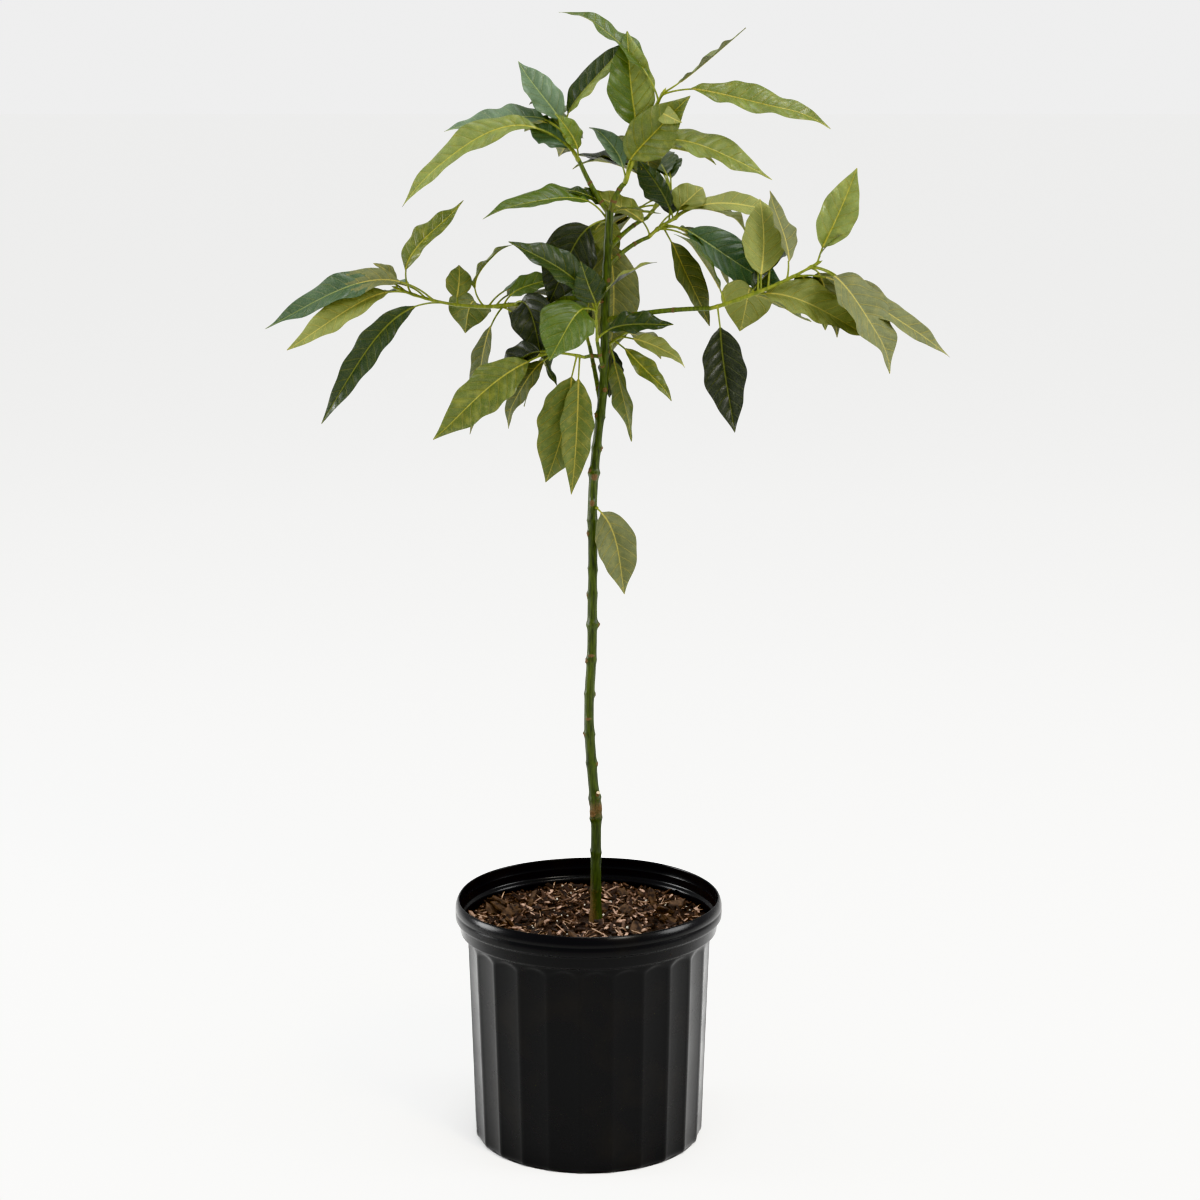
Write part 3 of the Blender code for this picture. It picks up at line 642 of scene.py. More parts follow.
def round_end(path, radius):
    """Closes a limb with three short rings that round its tip off."""
    ahead = (path[-1] - path[-2]).normalized()
    return path + [path[-1] + ahead * radius * share for share in (0.35, 0.6, 0.72)]


def tapered_end(share, rings):
    """How much of the radius is left in the last three rings, which round_end adds."""
    ring = round(share * (rings - 1)) - (rings - 4)
    return (1.0, 0.9, 0.65, 0.3)[ring] if ring > 0 else 1.0

# %% [markdown]
# ## Bark of the trunk
#
# Avocado keeps a green, living bark for years. It is smooth, with faint ridges
# along the grain, raised rings where buds once stood, corky brown leaf scars
# and, low down, the knobbly graft union. The rings and scars are rows of sizes
# and heights, and one function adds them up at every point of the trunk.

# %% Relief of the bark
# Rings are (height, raised by, half length), scars are (height, direction in
# degrees with -90 in front, raised by, half length, half width), in mm
BARK_RINGS = ((268, 0.25, 2.0), (309, 0.35, 1.6), (345, 0.7, 2.2), (368, 0.5, 2.0),
              (404, 0.35, 1.5), (436, 0.4, 1.3), (478, 0.35, 1.4), (514, 0.5, 1.4),
              (552, 0.5, 1.3), (583, 0.4, 1.3), (610, 0.3, 1.2), (660, 0.45, 1.4),
              (709, 0.7, 1.6), (735, 0.35, 1.2), (768, 0.4, 1.2), (795, 0.35, 1.2),
              (833, 0.4, 1.2), (860, 0.4, 1.2), (905, 0.35, 1.2), (940, 0.4, 1.2))
BARK_SCARS = ((352, -120, 0.9, 4.0, 3.0), (358, -50, 0.8, 3.2, 2.6), (404, -20, 0.6, 2.2, 2.4),
              (436, -160, 0.6, 2.2, 2.4), (478, 10, 0.5, 2.0, 2.2), (514, -150, 0.9, 2.8, 2.4),
              (552, -15, 0.8, 2.6, 2.4), (583, -170, 0.7, 2.4, 2.4), (637, -30, 0.8, 2.6, 2.2),
              (647, -155, 0.8, 2.6, 2.2), (679, -95, 0.9, 3.2, 2.4), (706, -80, 1.2, 3.6, 3.0),
              (712, -140, 0.9, 2.6, 2.2), (735, -20, 0.7, 2.4, 2.2), (768, -150, 0.7, 2.4, 2.2),
              (795, -70, 0.7, 2.6, 2.2), (833, -20, 0.7, 2.2, 2.0), (886, -150, 0.8, 2.4, 2.0),
              (905, -60, 0.7, 2.4, 2.0), (340, 90, 0.8, 3.0, 2.6), (460, 70, 0.7, 2.4, 2.4),
              (540, 120, 0.8, 2.4, 2.4), (625, 60, 0.7, 2.6, 2.2), (700, 110, 0.8, 2.6, 2.2),
              (520, -96, 0.5, 1.7, 3.6), (453, -100, 0.5, 1.6, 3.2))


def bump(distance):
    return math.exp(-distance * distance)


def trunk_skin(height, angle):
    """Radius of the bark at a height in metres and an angle, and how brown it is."""
    radius, level = trunk_radius(height) + BARK, height / MM
    grain = Vector((math.cos(angle) * 1.6, math.sin(angle) * 1.6, height * 22))
    relief = 0.55 * noise.noise(grain) + 0.2 * noise.noise(grain * 3.1)
    brown = 0.0
    for place, raised, half in BARK_RINGS:
        ring = bump((level - place + 1.4 * math.sin(angle + place)) / half)
        ring *= 0.7 + 0.3 * math.sin(angle * 2 + place)
        relief += 1.5 * raised * ring + 0.5 * bump((level - place) / 5)
        brown = max(brown, 0.42 * ring)
    for place, way, raised, half, wide in BARK_SCARS:
        turn = (angle - math.radians(way) + math.pi) % (2 * math.pi) - math.pi
        spot = bump((level - place) / half) * bump(turn * radius / MM / wide)
        relief += raised * spot * (3.2 - 2.2 * bump((level - place + 0.4) / (half * 0.4)))
        brown = max(brown, 1.15 * spot)
    knobs = bump((level - 356) / 15)
    lumps = Vector((math.cos(angle) * 2, math.sin(angle) * 2, level / 6))
    relief += 0.8 * knobs * noise.noise(lumps)
    # The foot is corky, and most so at the left
    base = max(0.0, 1.0 - (level - 232) / 115) * (0.66 - 0.34 * math.cos(angle))
    return radius + relief * MM, min(max(brown, 0.5 * knobs, 0.68 * base), 1.0)

# %% The trunk with its cut stubs
# A stub is (height, reach to the right, back and up, radius), in mm
STUBS = ((365, (3.4, -7.2, 9.6), 1.89), (886, (-8.5, -5.0, 1.5), 1.2),
         (884, (-6.0, -7.5, -1.5), 1.0))
STUB_SIDES = 12
TRUNK_RINGS = 420
TRUNK_SIDES = 28
bark_surface = Surface()
trunk_path = walk(trunk_middle, TRUNK_RINGS)
trunk_path[0].z = TRUNK_FOOT_HEIGHT
trunk_path = round_end(trunk_path, TRUNK_TIP_RADIUS)


def skin_of_trunk(share, angle):
    """The bark by its share of the trunk; a ring's angle 0 points to +Y."""
    height = min(max(trunk_path[round(share * (len(trunk_path) - 1))].z, MIX_HEIGHT),
                 TRUNK_BENDS[-1][0] * MM)
    radius, scar = trunk_skin(height, math.pi / 2 + angle)
    return radius * tapered_end(share, len(trunk_path)), scar


bark_surface.sweep(trunk_path, TRUNK_SIDES, skin_of_trunk)


def cut_stub(height, reach, radius):
    """A short dead stub with a clean pale cut end, as a pruned shoot leaves."""
    foot = trunk_at(height)
    shares = [step / 10 for step in range(11)] + [1.02, 1.03]
    path = [foot + vector(reach) * share for share in shares]
    bark_surface.sweep(path, STUB_SIDES, lambda share, angle: (
        radius * MM * (1.25 - 0.3 * share + 0.05 * math.sin(3 * angle + 9 * share)),
        2.0 if share > 0.9 else 1.0))


for stub in STUBS:
    cut_stub(*stub)
print("bark surface:", len(bark_surface.points), "points")

# %% [markdown]
# Young avocado bark is waxy: a deep olive green with paler streaks along the
# grain, thin brown cork on each scar, and brown flecks, the lenticels, about
# 1 mm long. The green turns darker towards the foot of the trunk. An attribute
# of the mesh tells the material where the cork is.

# %% Living green bark
BROWN_CORK, PALE_CORK, CUT_WOOD, LOW_TRUNK_GREEN = "#2b2015", "#70583c", "#b8a88e", "#0f1706"


def bark_finish(name, deep, fresh, streak, gloss):
    """Waxy green bark; deep and fresh are its greens, streak how often paler lines run."""
    material, add, shade = new_material(name)
    where = add("TexCoord").outputs["Object"]

    # Greens in streaks along the grain, darker towards the foot of the trunk
    grain_way = add("Mapping", Vector=where, Scale=(1.0, 1.0, 0.14))
    streaks = add("TexNoise", Vector=grain_way, Scale=streak, Detail=4.0)
    greens = add("Mix", add("MapRange", streaks, 0.3, 0.78), deep, fresh, data_type="RGBA")
    up_the_trunk = add("MapRange", add("SeparateXYZ", where).outputs[2], 0.24, 0.5, 0.45, 1.0)
    darker_low = add("Mix", up_the_trunk, LOW_TRUNK_GREEN, greens, data_type="RGBA")

    # Lenticels, and ragged cork where the mesh has scars
    fleck_way = add("Mapping", Vector=where, Scale=(1.0, 1.0, 0.45))
    fleck = add("MapRange", add("TexVoronoi", Vector=fleck_way, Scale=420.0), 0.12, 0.05)
    scar = add("Attribute", attribute_name="scar").outputs["Fac"]
    ragged = add("TexNoise", Vector=where, Scale=900.0)
    edge = add("Math ADD", scar, add("Math MULTIPLY_ADD", ragged, 0.5, -0.25))
    cork = add("MapRange", edge, 0.34, 0.6)
    both = add("Math MAXIMUM", cork, add("Math MULTIPLY", fleck, 0.45))
    browns = add("Mix", ragged, BROWN_CORK, PALE_CORK, data_type="RGBA")
    skin = add("Mix", both, darker_low, browns, data_type="RGBA")

    # Bare wood on cut ends; the same streaks and cork make the relief
    cut = add("MapRange", scar, 1.4, 1.7)
    height = add("Math ADD", streaks, both)
    shade({"Base Color": add("Mix", cut, skin, CUT_WOOD, data_type="RGBA"),
           "Roughness": add("MapRange", both, 0.0, 1.0, gloss, 0.8),
           "Normal": add("Bump", Strength=0.5, Distance=0.3 * MM, Height=height),
           "Specular IOR Level": 0.28})
    return material


green_bark = bark_finish("living_green_bark", "#141c05", "#414e12", 520.0, 0.4)
trunk = add_piece("bark_of_trunk", bark_surface.mesh("bark_of_trunk"), green_bark)
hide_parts("trunk")

# %% [markdown]
# ## Boughs
#
# Each bough leaves the trunk in a flared collar and tapers to where its foliage
# starts. Its middle line is the solid's own, a low arch from a few sizes.

# %% Boughs: where they go, and their skin
# name, height on the trunk, reach right, back and up, rise of the arch, radius
# at the foot and at the tip, in mm
BOUGHS = (
    ("left_leader", 971, (-30, 15, 50), -4, 3.0, 2.3),
    ("right_leader", 971, (15, -9, 30), 5, 3.0, 2.4),
    ("right_upper_bough", 917, (42, 28, 28), 4, 2.6, 2.0),
    ("right_long_bough", 864, (104, -36, 16), 3, 2.9, 2.2),
    ("left_long_bough", 884, (-88, 27, -6), 4, 2.9, 2.2),
    ("front_shoot", 813, (-7, -15, 32), -3, 2.2, 1.8),
    ("lower_left_shoot", 826, (-20, -8, 2), 2, 2.2, 1.8),
    ("back_bough", 776, (-12, 80, 52), 2, 2.7, 2.1),
    ("back_right_bough", 934, (40, 60, 28), 4, 2.6, 2.0),
)
BOUGH_RINGS = 60
BOUGH_SIDES = 18
BOUGH_NODES = (0.7 / 2.6, 1.7 / 2.6)


def arm(foot, reach, rise):
    """The middle line of a limb or stem, as a function of the share along it."""
    tip = foot + vector(reach)
    middle = (foot + tip) / 2 + Vector((0.0, 0.0, 2 * rise * MM))
    return lambda t: bend(foot, middle, tip, t)


def bough_skin(length, foot, tip, seed):
    """Radius and scar of a bough: a flared foot, a taper and raised rings at its nodes."""
    def skin(share, angle):
        along = share * length / MM
        radius = foot + (tip - foot) * share + 0.9 * math.exp(-along / 3.0)
        brown = max(0.7 * math.exp(-along / 2.2), 0.45 - along / 90)
        for place in BOUGH_NODES:
            off = (share - place) * length / MM + 0.5 * math.sin(angle + seed)
            radius += 0.4 * bump(off / 1.3)
            brown = max(brown, 0.9 * bump(off / 1.5))
        grain = Vector((math.cos(angle), math.sin(angle), along * 0.05 + seed))
        return (radius + 0.12 * noise.noise(grain * 2.0)) * MM, brown

    return skin


limb_lines = {}
bough_surface = Surface()
for seed, (name, height, reach, rise, foot, tip) in enumerate(BOUGHS):
    limb_lines[name] = arm(trunk_at(height), reach, rise)
    bough_surface.sweep(walk(limb_lines[name], BOUGH_RINGS), BOUGH_SIDES,
                        bough_skin(vector(reach).length, foot, tip, seed))
shoot_bark = bark_finish("green_shoot_bark", "#26300c", "#58651d", 480.0, 0.42)
boughs = add_piece("bark_of_boughs", bough_surface.mesh("bark_of_boughs"), shoot_bark)
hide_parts(*[row[0] for row in BOUGHS])

# %% [markdown]
# ## Where each leaf grows
#
# A leaf's row says where along its stem it grows, where its tip is from there,
# how wide it is, which way its upper side faces, how far its midrib is bowed,
# and which green shows. The near rows follow the real tree, leaf by leaf. The
# far leaves, behind, fall by seeded chance wherever they keep clear of every
# other mass and don't close a gap that the tree has.

# %% Rows of the leaves
# A mass is (name, limb, height on the trunk or None for the limb's tip, stem's
# reach, rise, foot and tip radius, far leaves, rows of near leaves). A row is
# (station on the stem, reach right, back and up, width, facing, bow, tone)
MASSES = (
    ("top_left_foliage", "left_leader", None, (-20, 15, 38), -2, 2.2, 1.3, 5, (
        (0.05, -50, 40, 32, 40, "fu", 0.10, "blue"),
        (0.10, -21, -22, 45, 24, "fr", 0.08, "bright"),
        (0.25, -177, -14, -46, 34, "uf", 0.20, "fresh"),
        (0.70, -124, 26, 6, 30, "uf", 0.13, "blue"),
        (0.75, -47, 10, 70, 36, "fu", 0.06, "blue"),
        # Two-toned blade: the dark half is painted shade, the fresh half is the lit green
        (0.70, 64, -22, 96, 34, "ful", 0.09, "dark|fresh"),
    )),
    ("top_right_foliage", "right_leader", None, (37, -22, 89), 6, 2.3, 1.4, 7, (
        (0.02, -35, 30, 56, 22, "uf", 0.10, "blue"),
        (0.05, 58, -32, 80, 48, "f", 0.08, "lime"),
        (0.22, 138, -10, -17, 34, "fu", 0.16, "fresh"),
        # Two-toned blade: the mid half is painted shade, the fresh half is the lit green
        (0.35, -11, 4, 112, 48, "f", 0.02, "mid|fresh"),
        (0.70, 28, -24, -6, 18, "f", 0.12, "pale"),
        (0.88, -92, 40, 96, 30, "urf", 0.07, "mid"),
        (0.97, 167, -14, -22, 34, "uf", 0.06, "moss"),
        (1.00, 81, 12, 62, 26, "ul", -0.02, "moss"),
    )),
    ("right_upper_foliage", "right_upper_bough", None, (28, 16, 18), 2, 1.9, 1.3, 5, (
        (0.05, -66, -26, 48, 26, "ub", 0.10, "pale"),
        (0.55, 128, -40, -68, 48, "fu", 0.05, "sea"),
        (0.50, 50, -8, -100, 34, "fr", 0.01, "shade"),
        (0.75, 4, 34, 30, 32, "f", 0.08, "deep"),
        (0.90, -37, -20, 63, 36, "fl", 0.04, "dark"),
        (0.98, 29, 20, 32, 36, "fu", 0.08, "pale"),
        (1.00, 118, 28, 0, 26, "fu", 0.09, "pale"),
    )),
    ("right_foliage", "right_long_bough", None, (102, -42, 48), -4, 2.1, 1.3, 8, (
        (0.07, 18, -20, -123, 44, "f", -0.01, "deep"),
        (0.14, -44, 12, 73, 36, "ru", 0.04, "mid"),
        (0.42, -12, 44, -42, 54, "b", 0.26, "pale"),
        (0.38, 19, 24, 20, 24, "f", 0.06, "dark"),
        (0.28, 130, -14, -38, 48, "fu", 0.10, "pale"),
        (0.48, 1, 50, 88, 44, "f", 0.02, "pale"),
        (0.72, -17, 40, 82, 28, "rf", 0.10, "grey"),
        (0.76, 158, -12, -74, 32, "uf", 0.09, "grey"),
        (0.94, 84, -32, -95, 54, "fr", 0.10, "grey"),
        (1.00, 37, 0, 92, 38, "f", 0.02, "fresh"),
        (1.00, 26, -6, 34, 14, "ul", 0.06, "grey"),
    )),
    ("left_foliage", "left_long_bough", None, (-126, 40, 12), -9, 2.1, 1.3, 8, (
        (0.03, 27, -44, -45, 46, "f", 0.26, "deep"),
        (0.12, 57, -12, 30, 26, "uf", 0.10, "mid"),
        (0.12, -32, -6, -131, 28, "fl", 0.07, "shade"),
        (0.28, 28, -2, 69, 26, "lu", 0.21, "moss/lime"),
        (0.34, -14, 42, -31, 46, "b", 0.22, "olive"),
        (0.50, 2, 10, 41, 28, "f", 0.10, "olive"),
        (0.53, -138, -16, -122, 29, "f", 0.16, "dark"),
        (0.70, -171, -12, -28, 36, "uf", 0.15, "grey>sea"),
        (0.86, -127, -36, -53, 34, "uf", 0.10, "pale"),
        (0.88, 56, 2, 93, 28, "lf", 0.17, "lime"),
        (1.00, -22, -12, 27, 16, "uf", 0.10, "grey"),
    )),
    ("front_foliage", "front_shoot", None, (-1, -21, 32), 0, 1.7, 1.1, 3, (
        (0.05, 76, -10, 16, 28, "uf", 0.10, "dark"),
        (1.00, -46, -40, -44, 60, "fu", 0.20, "mid"),
        (0.94, -86, -20, 72, 38, "fu", 0.08, "dark"),
        (1.00, 57, -26, 55, 26, "ul", 0.08, "pale"),
        (1.00, -14, -20, 49, 34, "f", 0.04, "dark"),
    )),
    ("lower_left_foliage", "lower_left_shoot", None, (-32, -20, 7), 1, 1.7, 1.1, 3, (
        (0.15, -8, -18, -138, 34, "f", 0.00, "olive"),
        (0.24, -32, 12, -133, 56, "f", 0.00, "olive"),
        (0.85, -55, -10, -72, 30, "fl", 0.08, "shade"),
        (1.00, -118, -20, -86, 44, "f", 0.06, "lime"),
        (1.00, -56, 30, -26, 34, "fu", 0.10, "deep"),
    )),
    ("lower_right_foliage", "trunk", 836, (16, 14, 10), 1, 1.7, 1.1, 2, (
        (0.30, 25, 14, -100, 30, "fl", 0.02, "olive"),
        (0.60, 61, -10, -57, 22, "uf", 0.02, "lime"),
        (0.50, -3, 32, -61, 26, "f", 0.06, "deep"),
        (1.00, 69, 10, -28, 24, "uf", 0.04, "pale"),
    )),
    ("fork_foliage", "trunk", 958, (-3, 30, 14), 2, 2.0, 1.3, 2, (
        (0.20, -125, -34, 12, 36, "uuf", 0.15, "mid"),
        (0.30, -59, -14, -84, 56, "f", 0.15, "deep"),
        (0.80, 0, 34, -46, 30, "f", 0.05, "pale"),
        (0.55, 3, 8, -150, 54, "f", 0.04, "grey"),
        (0.40, 53, -2, 3, 14, "u", 0.14, "fresh"),
        (0.60, -42, 8, 28, 16, "fu", 0.10, "dark"),
    )),
    ("back_foliage", "back_bough", None, (-14, 66, 34), 2, 2.0, 1.2, 11, ()),
    ("back_right_foliage", "back_right_bough", None, (30, 50, 26), 2, 1.9, 1.2, 10, ()),
    ("lower_leaf", "trunk", 672, (4, -4, 2), 0, 1.3, 1.1, 0, (
        (1.00, 28, -10, -87, 42, "f", 0.13, "grey"),
    )),
)

# What the letters of a leaf's facing mean: up, front, back, left and right
FACES = {"u": (0, 0, 1), "f": (0, -1, 0), "b": (0, 1, 0), "l": (-1, 0, 0), "r": (1, 0, 0)}
print(sum(len(row[-1]) for row in MASSES), "near leaves in rows")

# %% One leaf: its line, its frame and the plain solid that tests its room
PETIOLE_SHARE = 0.22
PETIOLE_RADIUS = 1.0 * MM
LEAF_THICKNESS = 0.0125
LEAST_THICKNESS = 1.1 * MM
BROADEST = 0.44
FOLD = math.radians(16)
BLADE_STATIONS = (0.0, 0.16, 0.38, 0.62, 0.84)


def outline(u):
    """Half width of a blade at a share of its length: broad, then long-pointed."""
    if u < BROADEST:
        return math.sin(math.pi / 2 * (0.06 + 0.94 * u / BROADEST)) ** 0.85
    return math.cos(math.pi / 2 * (u - BROADEST) / (1 - BROADEST)) ** 0.9


class Leaf:
    """One leaf: a petiole and a blade on one bowed line, from its node to its tip."""

    def __init__(self, node, reach, width, facing, bow, tone, stations=BLADE_STATIONS):
        self.node, self.reach, self.length = node, reach, reach.length
        self.width, self.facing, self.tone = width, facing, tone
        self.stations, self.petiole = stations, PETIOLE_SHARE
        lift = Vector((0.0, 0.0, 1.0)) + facing.normalized() * 0.3
        rise = (lift - reach * (lift.dot(reach) / reach.length_squared)).normalized()
        rise *= bow * self.length
        self.controls = (node, node + reach * PETIOLE_SHARE + rise * 2.1,
                         node + reach * 0.58 + rise * 0.8, node + reach)

    def frame(self, t):
        """A point of the leaf's line, with the ways to its side and up from its face."""
        a, b, c, d = self.controls
        place = bend(a, b, c, t) * (1 - t) + bend(b, c, d, t) * t
        ahead = bend(b - a, c - b, d - c, t).normalized()
        up = (self.facing - ahead * self.facing.dot(ahead)).normalized()
        return place, ahead.cross(up), up

    def solid(self, spare=0.0):
        """Points and faces; spare thickens the leaf for a test of its clearance."""
        thick = max(LEAF_THICKNESS * self.length, LEAST_THICKNESS) / 2 + spare
        points = []
        for t in (0.0, PETIOLE_SHARE * 0.5):
            place, side, up = self.frame(t)
            radius = PETIOLE_RADIUS + spare
            points += [place + side * radius, place + up * radius,
                       place - side * radius, place - up * radius]
        for u in self.stations:
            place, side, up = self.frame(PETIOLE_SHARE + (1 - PETIOLE_SHARE) * u)
            half = max(self.width / 2 * outline(u), PETIOLE_RADIUS) + spare
            drift = up * (half * math.sin(FOLD))
            across = side * (half * math.cos(FOLD))
            thin = thick * (1 - 0.35 * u)
            points += [place + across + drift, place + up * thin,
                       place - across + drift, place - up * thin]
        points.append(self.frame(1.0)[0])
        tip = len(points) - 1
        faces = [half for a, b, c, d in joined(0, tip // 4, 4) for half in ((a, d, c), (a, c, b))]
        faces += [(tip - 4 + step, tip, tip - 4 + (step + 1) % 4) for step in range(4)]
        return points, faces + [(0, 1, 2), (0, 2, 3)]

    def samples(self):
        """Points of the blade, to see what stands in front of it."""
        found = []
        for u in (0.15, 0.4, 0.65, 0.9):
            place, side, up = self.frame(PETIOLE_SHARE + (1 - PETIOLE_SHARE) * u)
            half = self.width / 2 * outline(u)
            found += [place, place + side * half, place - side * half]
        found.append(self.node + self.reach)
        return found


def facing_way(letters):
    """The sum of the ways that the letters name, each as often as it is written."""
    return sum((Vector(FACES[letter]) for letter in letters), Vector())


def tree_of(points, faces):
    return BVHTree.FromPolygons([tuple(point) for point in points], faces)

# %% Plain limbs that test the room of the leaves
PLAIN_TRUNK_SIDES = 10
PLAIN_BOUGH_SIDES = 7
PLAIN_TWIG_SIDES = 5
TRUNK_STEPS = 42
ARM_STEPS = 6


def plain_tube(path, radii, sides):
    """The test tree of a tube along a path with a radius at each of its points."""
    surface = Surface()
    surface.sweep(path, sides, lambda share, angle: (radii[round(share * (len(path) - 1))], 0.0))
    return tree_of(surface.points, surface.faces)


def plain_arm(line, foot, tip, sides):
    """A limb with few sides, as the solids have it, for tests of room."""
    radii = [(foot + (tip - foot) * step / ARM_STEPS) * MM for step in range(ARM_STEPS + 1)]
    return plain_tube(walk(line, ARM_STEPS), radii, sides)


def plain_trunk():
    """The trunk with few sides, as the solids have it."""
    path = walk(trunk_middle, TRUNK_STEPS)
    path[0].z = TRUNK_FOOT_HEIGHT
    radii = [trunk_radius(max(point.z, path[0].z)) for point in path]
    path.append(path[-1] + (path[-1] - path[-2]).normalized() * (radii[-1] * 0.6))
    return plain_tube(path, radii + [radii[-1] * 0.55], PLAIN_TRUNK_SIDES)

# %% Near leaves by their rows, far leaves by chance
CLEAR = 0.5 * MM
SWINGS = (0, 8, -8, 16, -16, 24, -24, 34, -34, 46, -46, 60)
FAR_STATIONS = (0.0, 0.22, 0.52, 0.8)
FAR_SEED = 44
FAR_TRIES = 420
FAR_LENGTH = (88, 140)
FAR_WIDTH_SHARE = (0.27, 0.36)
FAR_DROOP = (-62, 36)
FAR_HIDDEN_SHARE = 0.92
FAR_BOW = 0.1
FRONT_WAY = Vector((0.0, -0.978, 0.206))
FAR_TONES = ("dark", "blue", "deep", "mid", "moss", "grey", "olive", "dark", "mid")


def near_leaf(line, row):
    """The leaf of a row, swung back or forward until it is clear of its neighbours."""
    station, right, back, up, width, letters, bow, tone = row
    for swing in SWINGS:
        yield Leaf(line(station), vector((right, back + swing, up)), width * MM,
                   facing_way(letters), bow, tone)


def far_leaf(line, chance, tone):
    """A chance leaf: any way round, drooping, its upper side up and outward."""
    for _ in range(FAR_TRIES):
        turn = chance.uniform(0, 2 * math.pi)
        droop = math.radians(chance.uniform(*FAR_DROOP))
        length = chance.uniform(*FAR_LENGTH)
        out = Vector((math.cos(turn), math.sin(turn), 0.0))
        reach = (out * math.cos(droop) + Vector((0.0, 0.0, math.sin(droop)))) * length * MM
        width = length * MM * chance.uniform(*FAR_WIDTH_SHARE)
        facing = Vector((0.0, 0.0, 1.0)) + out * 0.5
        yield Leaf(line(chance.uniform(0.15, 0.97)), reach, width, facing, FAR_BOW, tone,
                   FAR_STATIONS)


def is_clear(leaf, others):
    shape = tree_of(*leaf.solid(CLEAR))
    return not any(shape.overlap(other) for other in others)


def is_hidden(leaf, screens):
    """Whether a leaf stands behind nearer ones, so that the gaps stay open."""
    samples = leaf.samples()
    covered = sum(any(screen.ray_cast(point, FRONT_WAY)[0] for screen in screens)
                  for point in samples)
    return covered >= FAR_HIDDEN_SHARE * len(samples)

# %% Growing them
SHORT_PETIOLE = 0.09
stem_lines, plain_stems = {}, {}
plain_limbs = {"trunk": plain_trunk()}
for name, height, reach, rise, foot, tip in BOUGHS:
    plain_limbs[name] = plain_arm(limb_lines[name], foot, tip, PLAIN_BOUGH_SIDES)
for name, carrier, height, reach, rise, foot, tip, _, _ in MASSES:
    start = limb_lines[carrier](1.0) if height is None else trunk_at(height)
    stem_lines[name] = arm(start, reach, rise)
    plain_stems[name] = plain_arm(stem_lines[name], foot, tip, PLAIN_TWIG_SIDES)
grown = {row[0]: [] for row in MASSES}
taken = {row[0]: [] for row in MASSES}


def settle(name, carrier, tries, screens=None):
    """Takes the first try that is clear of every other mass and limb."""
    blocked = [tree for limb, tree in plain_limbs.items() if limb != carrier]
    blocked += [tree for stem, tree in plain_stems.items() if stem != name]
    blocked += [tree for mass in taken if mass != name for tree in taken[mass]]
    for leaf in tries:
        if screens is not None and not is_hidden(leaf, screens):
            continue
        if is_clear(leaf, blocked):
            grown[name].append(leaf)
            taken[name].append(tree_of(*leaf.solid()))
            return


for name, carrier, *_, rows in MASSES:
    for row in rows:
        settle(name, carrier, near_leaf(stem_lines[name], row))
chance = random.Random(FAR_SEED)
tones = random.Random(FAR_SEED)
near_screens = [tree for mass in taken.values() for tree in mass]
for name, carrier, *_, count, rows in MASSES:
    for _ in range(count):
        settle(name, carrier, far_leaf(stem_lines[name], chance, tones.choice(FAR_TONES)),
               near_screens)
# The single leaf low on the trunk sits on a much shorter petiole than the rest
grown["lower_leaf"][0].petiole = SHORT_PETIOLE
print("leaves:", {name: len(leaves) for name, leaves in grown.items()})

# %% [markdown]
# ## The blade of a leaf
#
# A leaf blade could be a flat card, but from close by an avocado leaf is far
# from flat: it is folded along a stout midrib, its margins ripple, it twists a
# little and its tip curls. Each blade is a grid of points that takes all of these
# at once, top and underside apart, and is sewn together along the margin. The
# columns lie closer near the midrib, so that it is a real ridge below and a
# groove above.

# %% Shape of one blade
BLADE_ROWS = 40
BLADE_COLUMNS = 16
BLADE_THICKNESS = 0.38 * MM
RIB_HEIGHT = 0.9 * MM
RIB_WIDTH = 0.9 * MM
ROUND = 6.28


def fine_half_width(leaf, u):
    """The solid's outline, drawn out finer at the foot and into a longer tip."""
    foot = 1.0 - (1.0 - min(u / 0.09, 1.0)) ** 2
    tip = max((u - 0.76) / 0.24, 0.0)
    broad = leaf.width / 2 * outline(u) - PETIOLE_RADIUS
    return PETIOLE_RADIUS + broad * foot * (1 - 0.4 * tip ** 1.5)


class Habit:
    """How one leaf departs from the plain shape: drawn once for each leaf."""

    def __init__(self, chance, reach, slender):
        def both_sides(least, most):
            """How many waves each half has along it, and where they start."""
            return [(chance.uniform(least, most), chance.uniform(0, ROUND)) for _ in range(2)]

        self.reach = reach
        self.twist = math.radians(chance.uniform(-20, 20))
        self.ripple = chance.uniform(0.04, 0.105) * slender
        self.waves = both_sides(1.8, 3.8)
        self.small = both_sides(5, 8)
        self.margin = both_sides(2.6, 4.8)
        self.lobe = chance.uniform(0.03, 0.085) * slender
        self.curl = chance.choice((0.0, 0.03, 0.06, 0.1, -0.03))
        self.sway = chance.uniform(-0.035, 0.035)
        self.cup = chance.uniform(0.75, 1.25)


def blade_point(leaf, habit, u, v):
    """A point of the blade's middle skin: u along it, v across it from -1 to 1."""
    place, side, up = leaf.frame(leaf.petiole + (habit.reach - leaf.petiole) * u)
    lean = habit.twist * math.sin(math.pi * min(u * 0.62 + 0.05, 1.0)) * (u - 0.25)
    side, up = (side * math.cos(lean) + up * math.sin(lean),
                up * math.cos(lean) - side * math.sin(lean))
    half = fine_half_width(leaf, u)
    margin, wave, small = (math.sin(2 * math.pi * count * u + phase) for count, phase in (
        habit.margin[v > 0], habit.waves[v > 0], habit.small[v > 0]))
    half *= 1 + habit.lobe * margin * math.sin(math.pi * u)
    ripple = habit.ripple * wave
    ripple += 0.16 * habit.ripple * small
    edge = abs(v) ** 2.0 * math.sin(math.pi * min(max(u, 0.02), 0.98)) ** 0.5
    lift = half * habit.cup * (0.5 * abs(v) - 0.22 * v * v) + leaf.width * ripple * edge
    drop = leaf.length * habit.curl * max((u - 0.72) / 0.28, 0.0) ** 2
    sway = leaf.length * habit.sway * math.sin(math.pi * u)
    return place + side * (half * v * 0.97 + sway) + up * (lift - drop), up, half


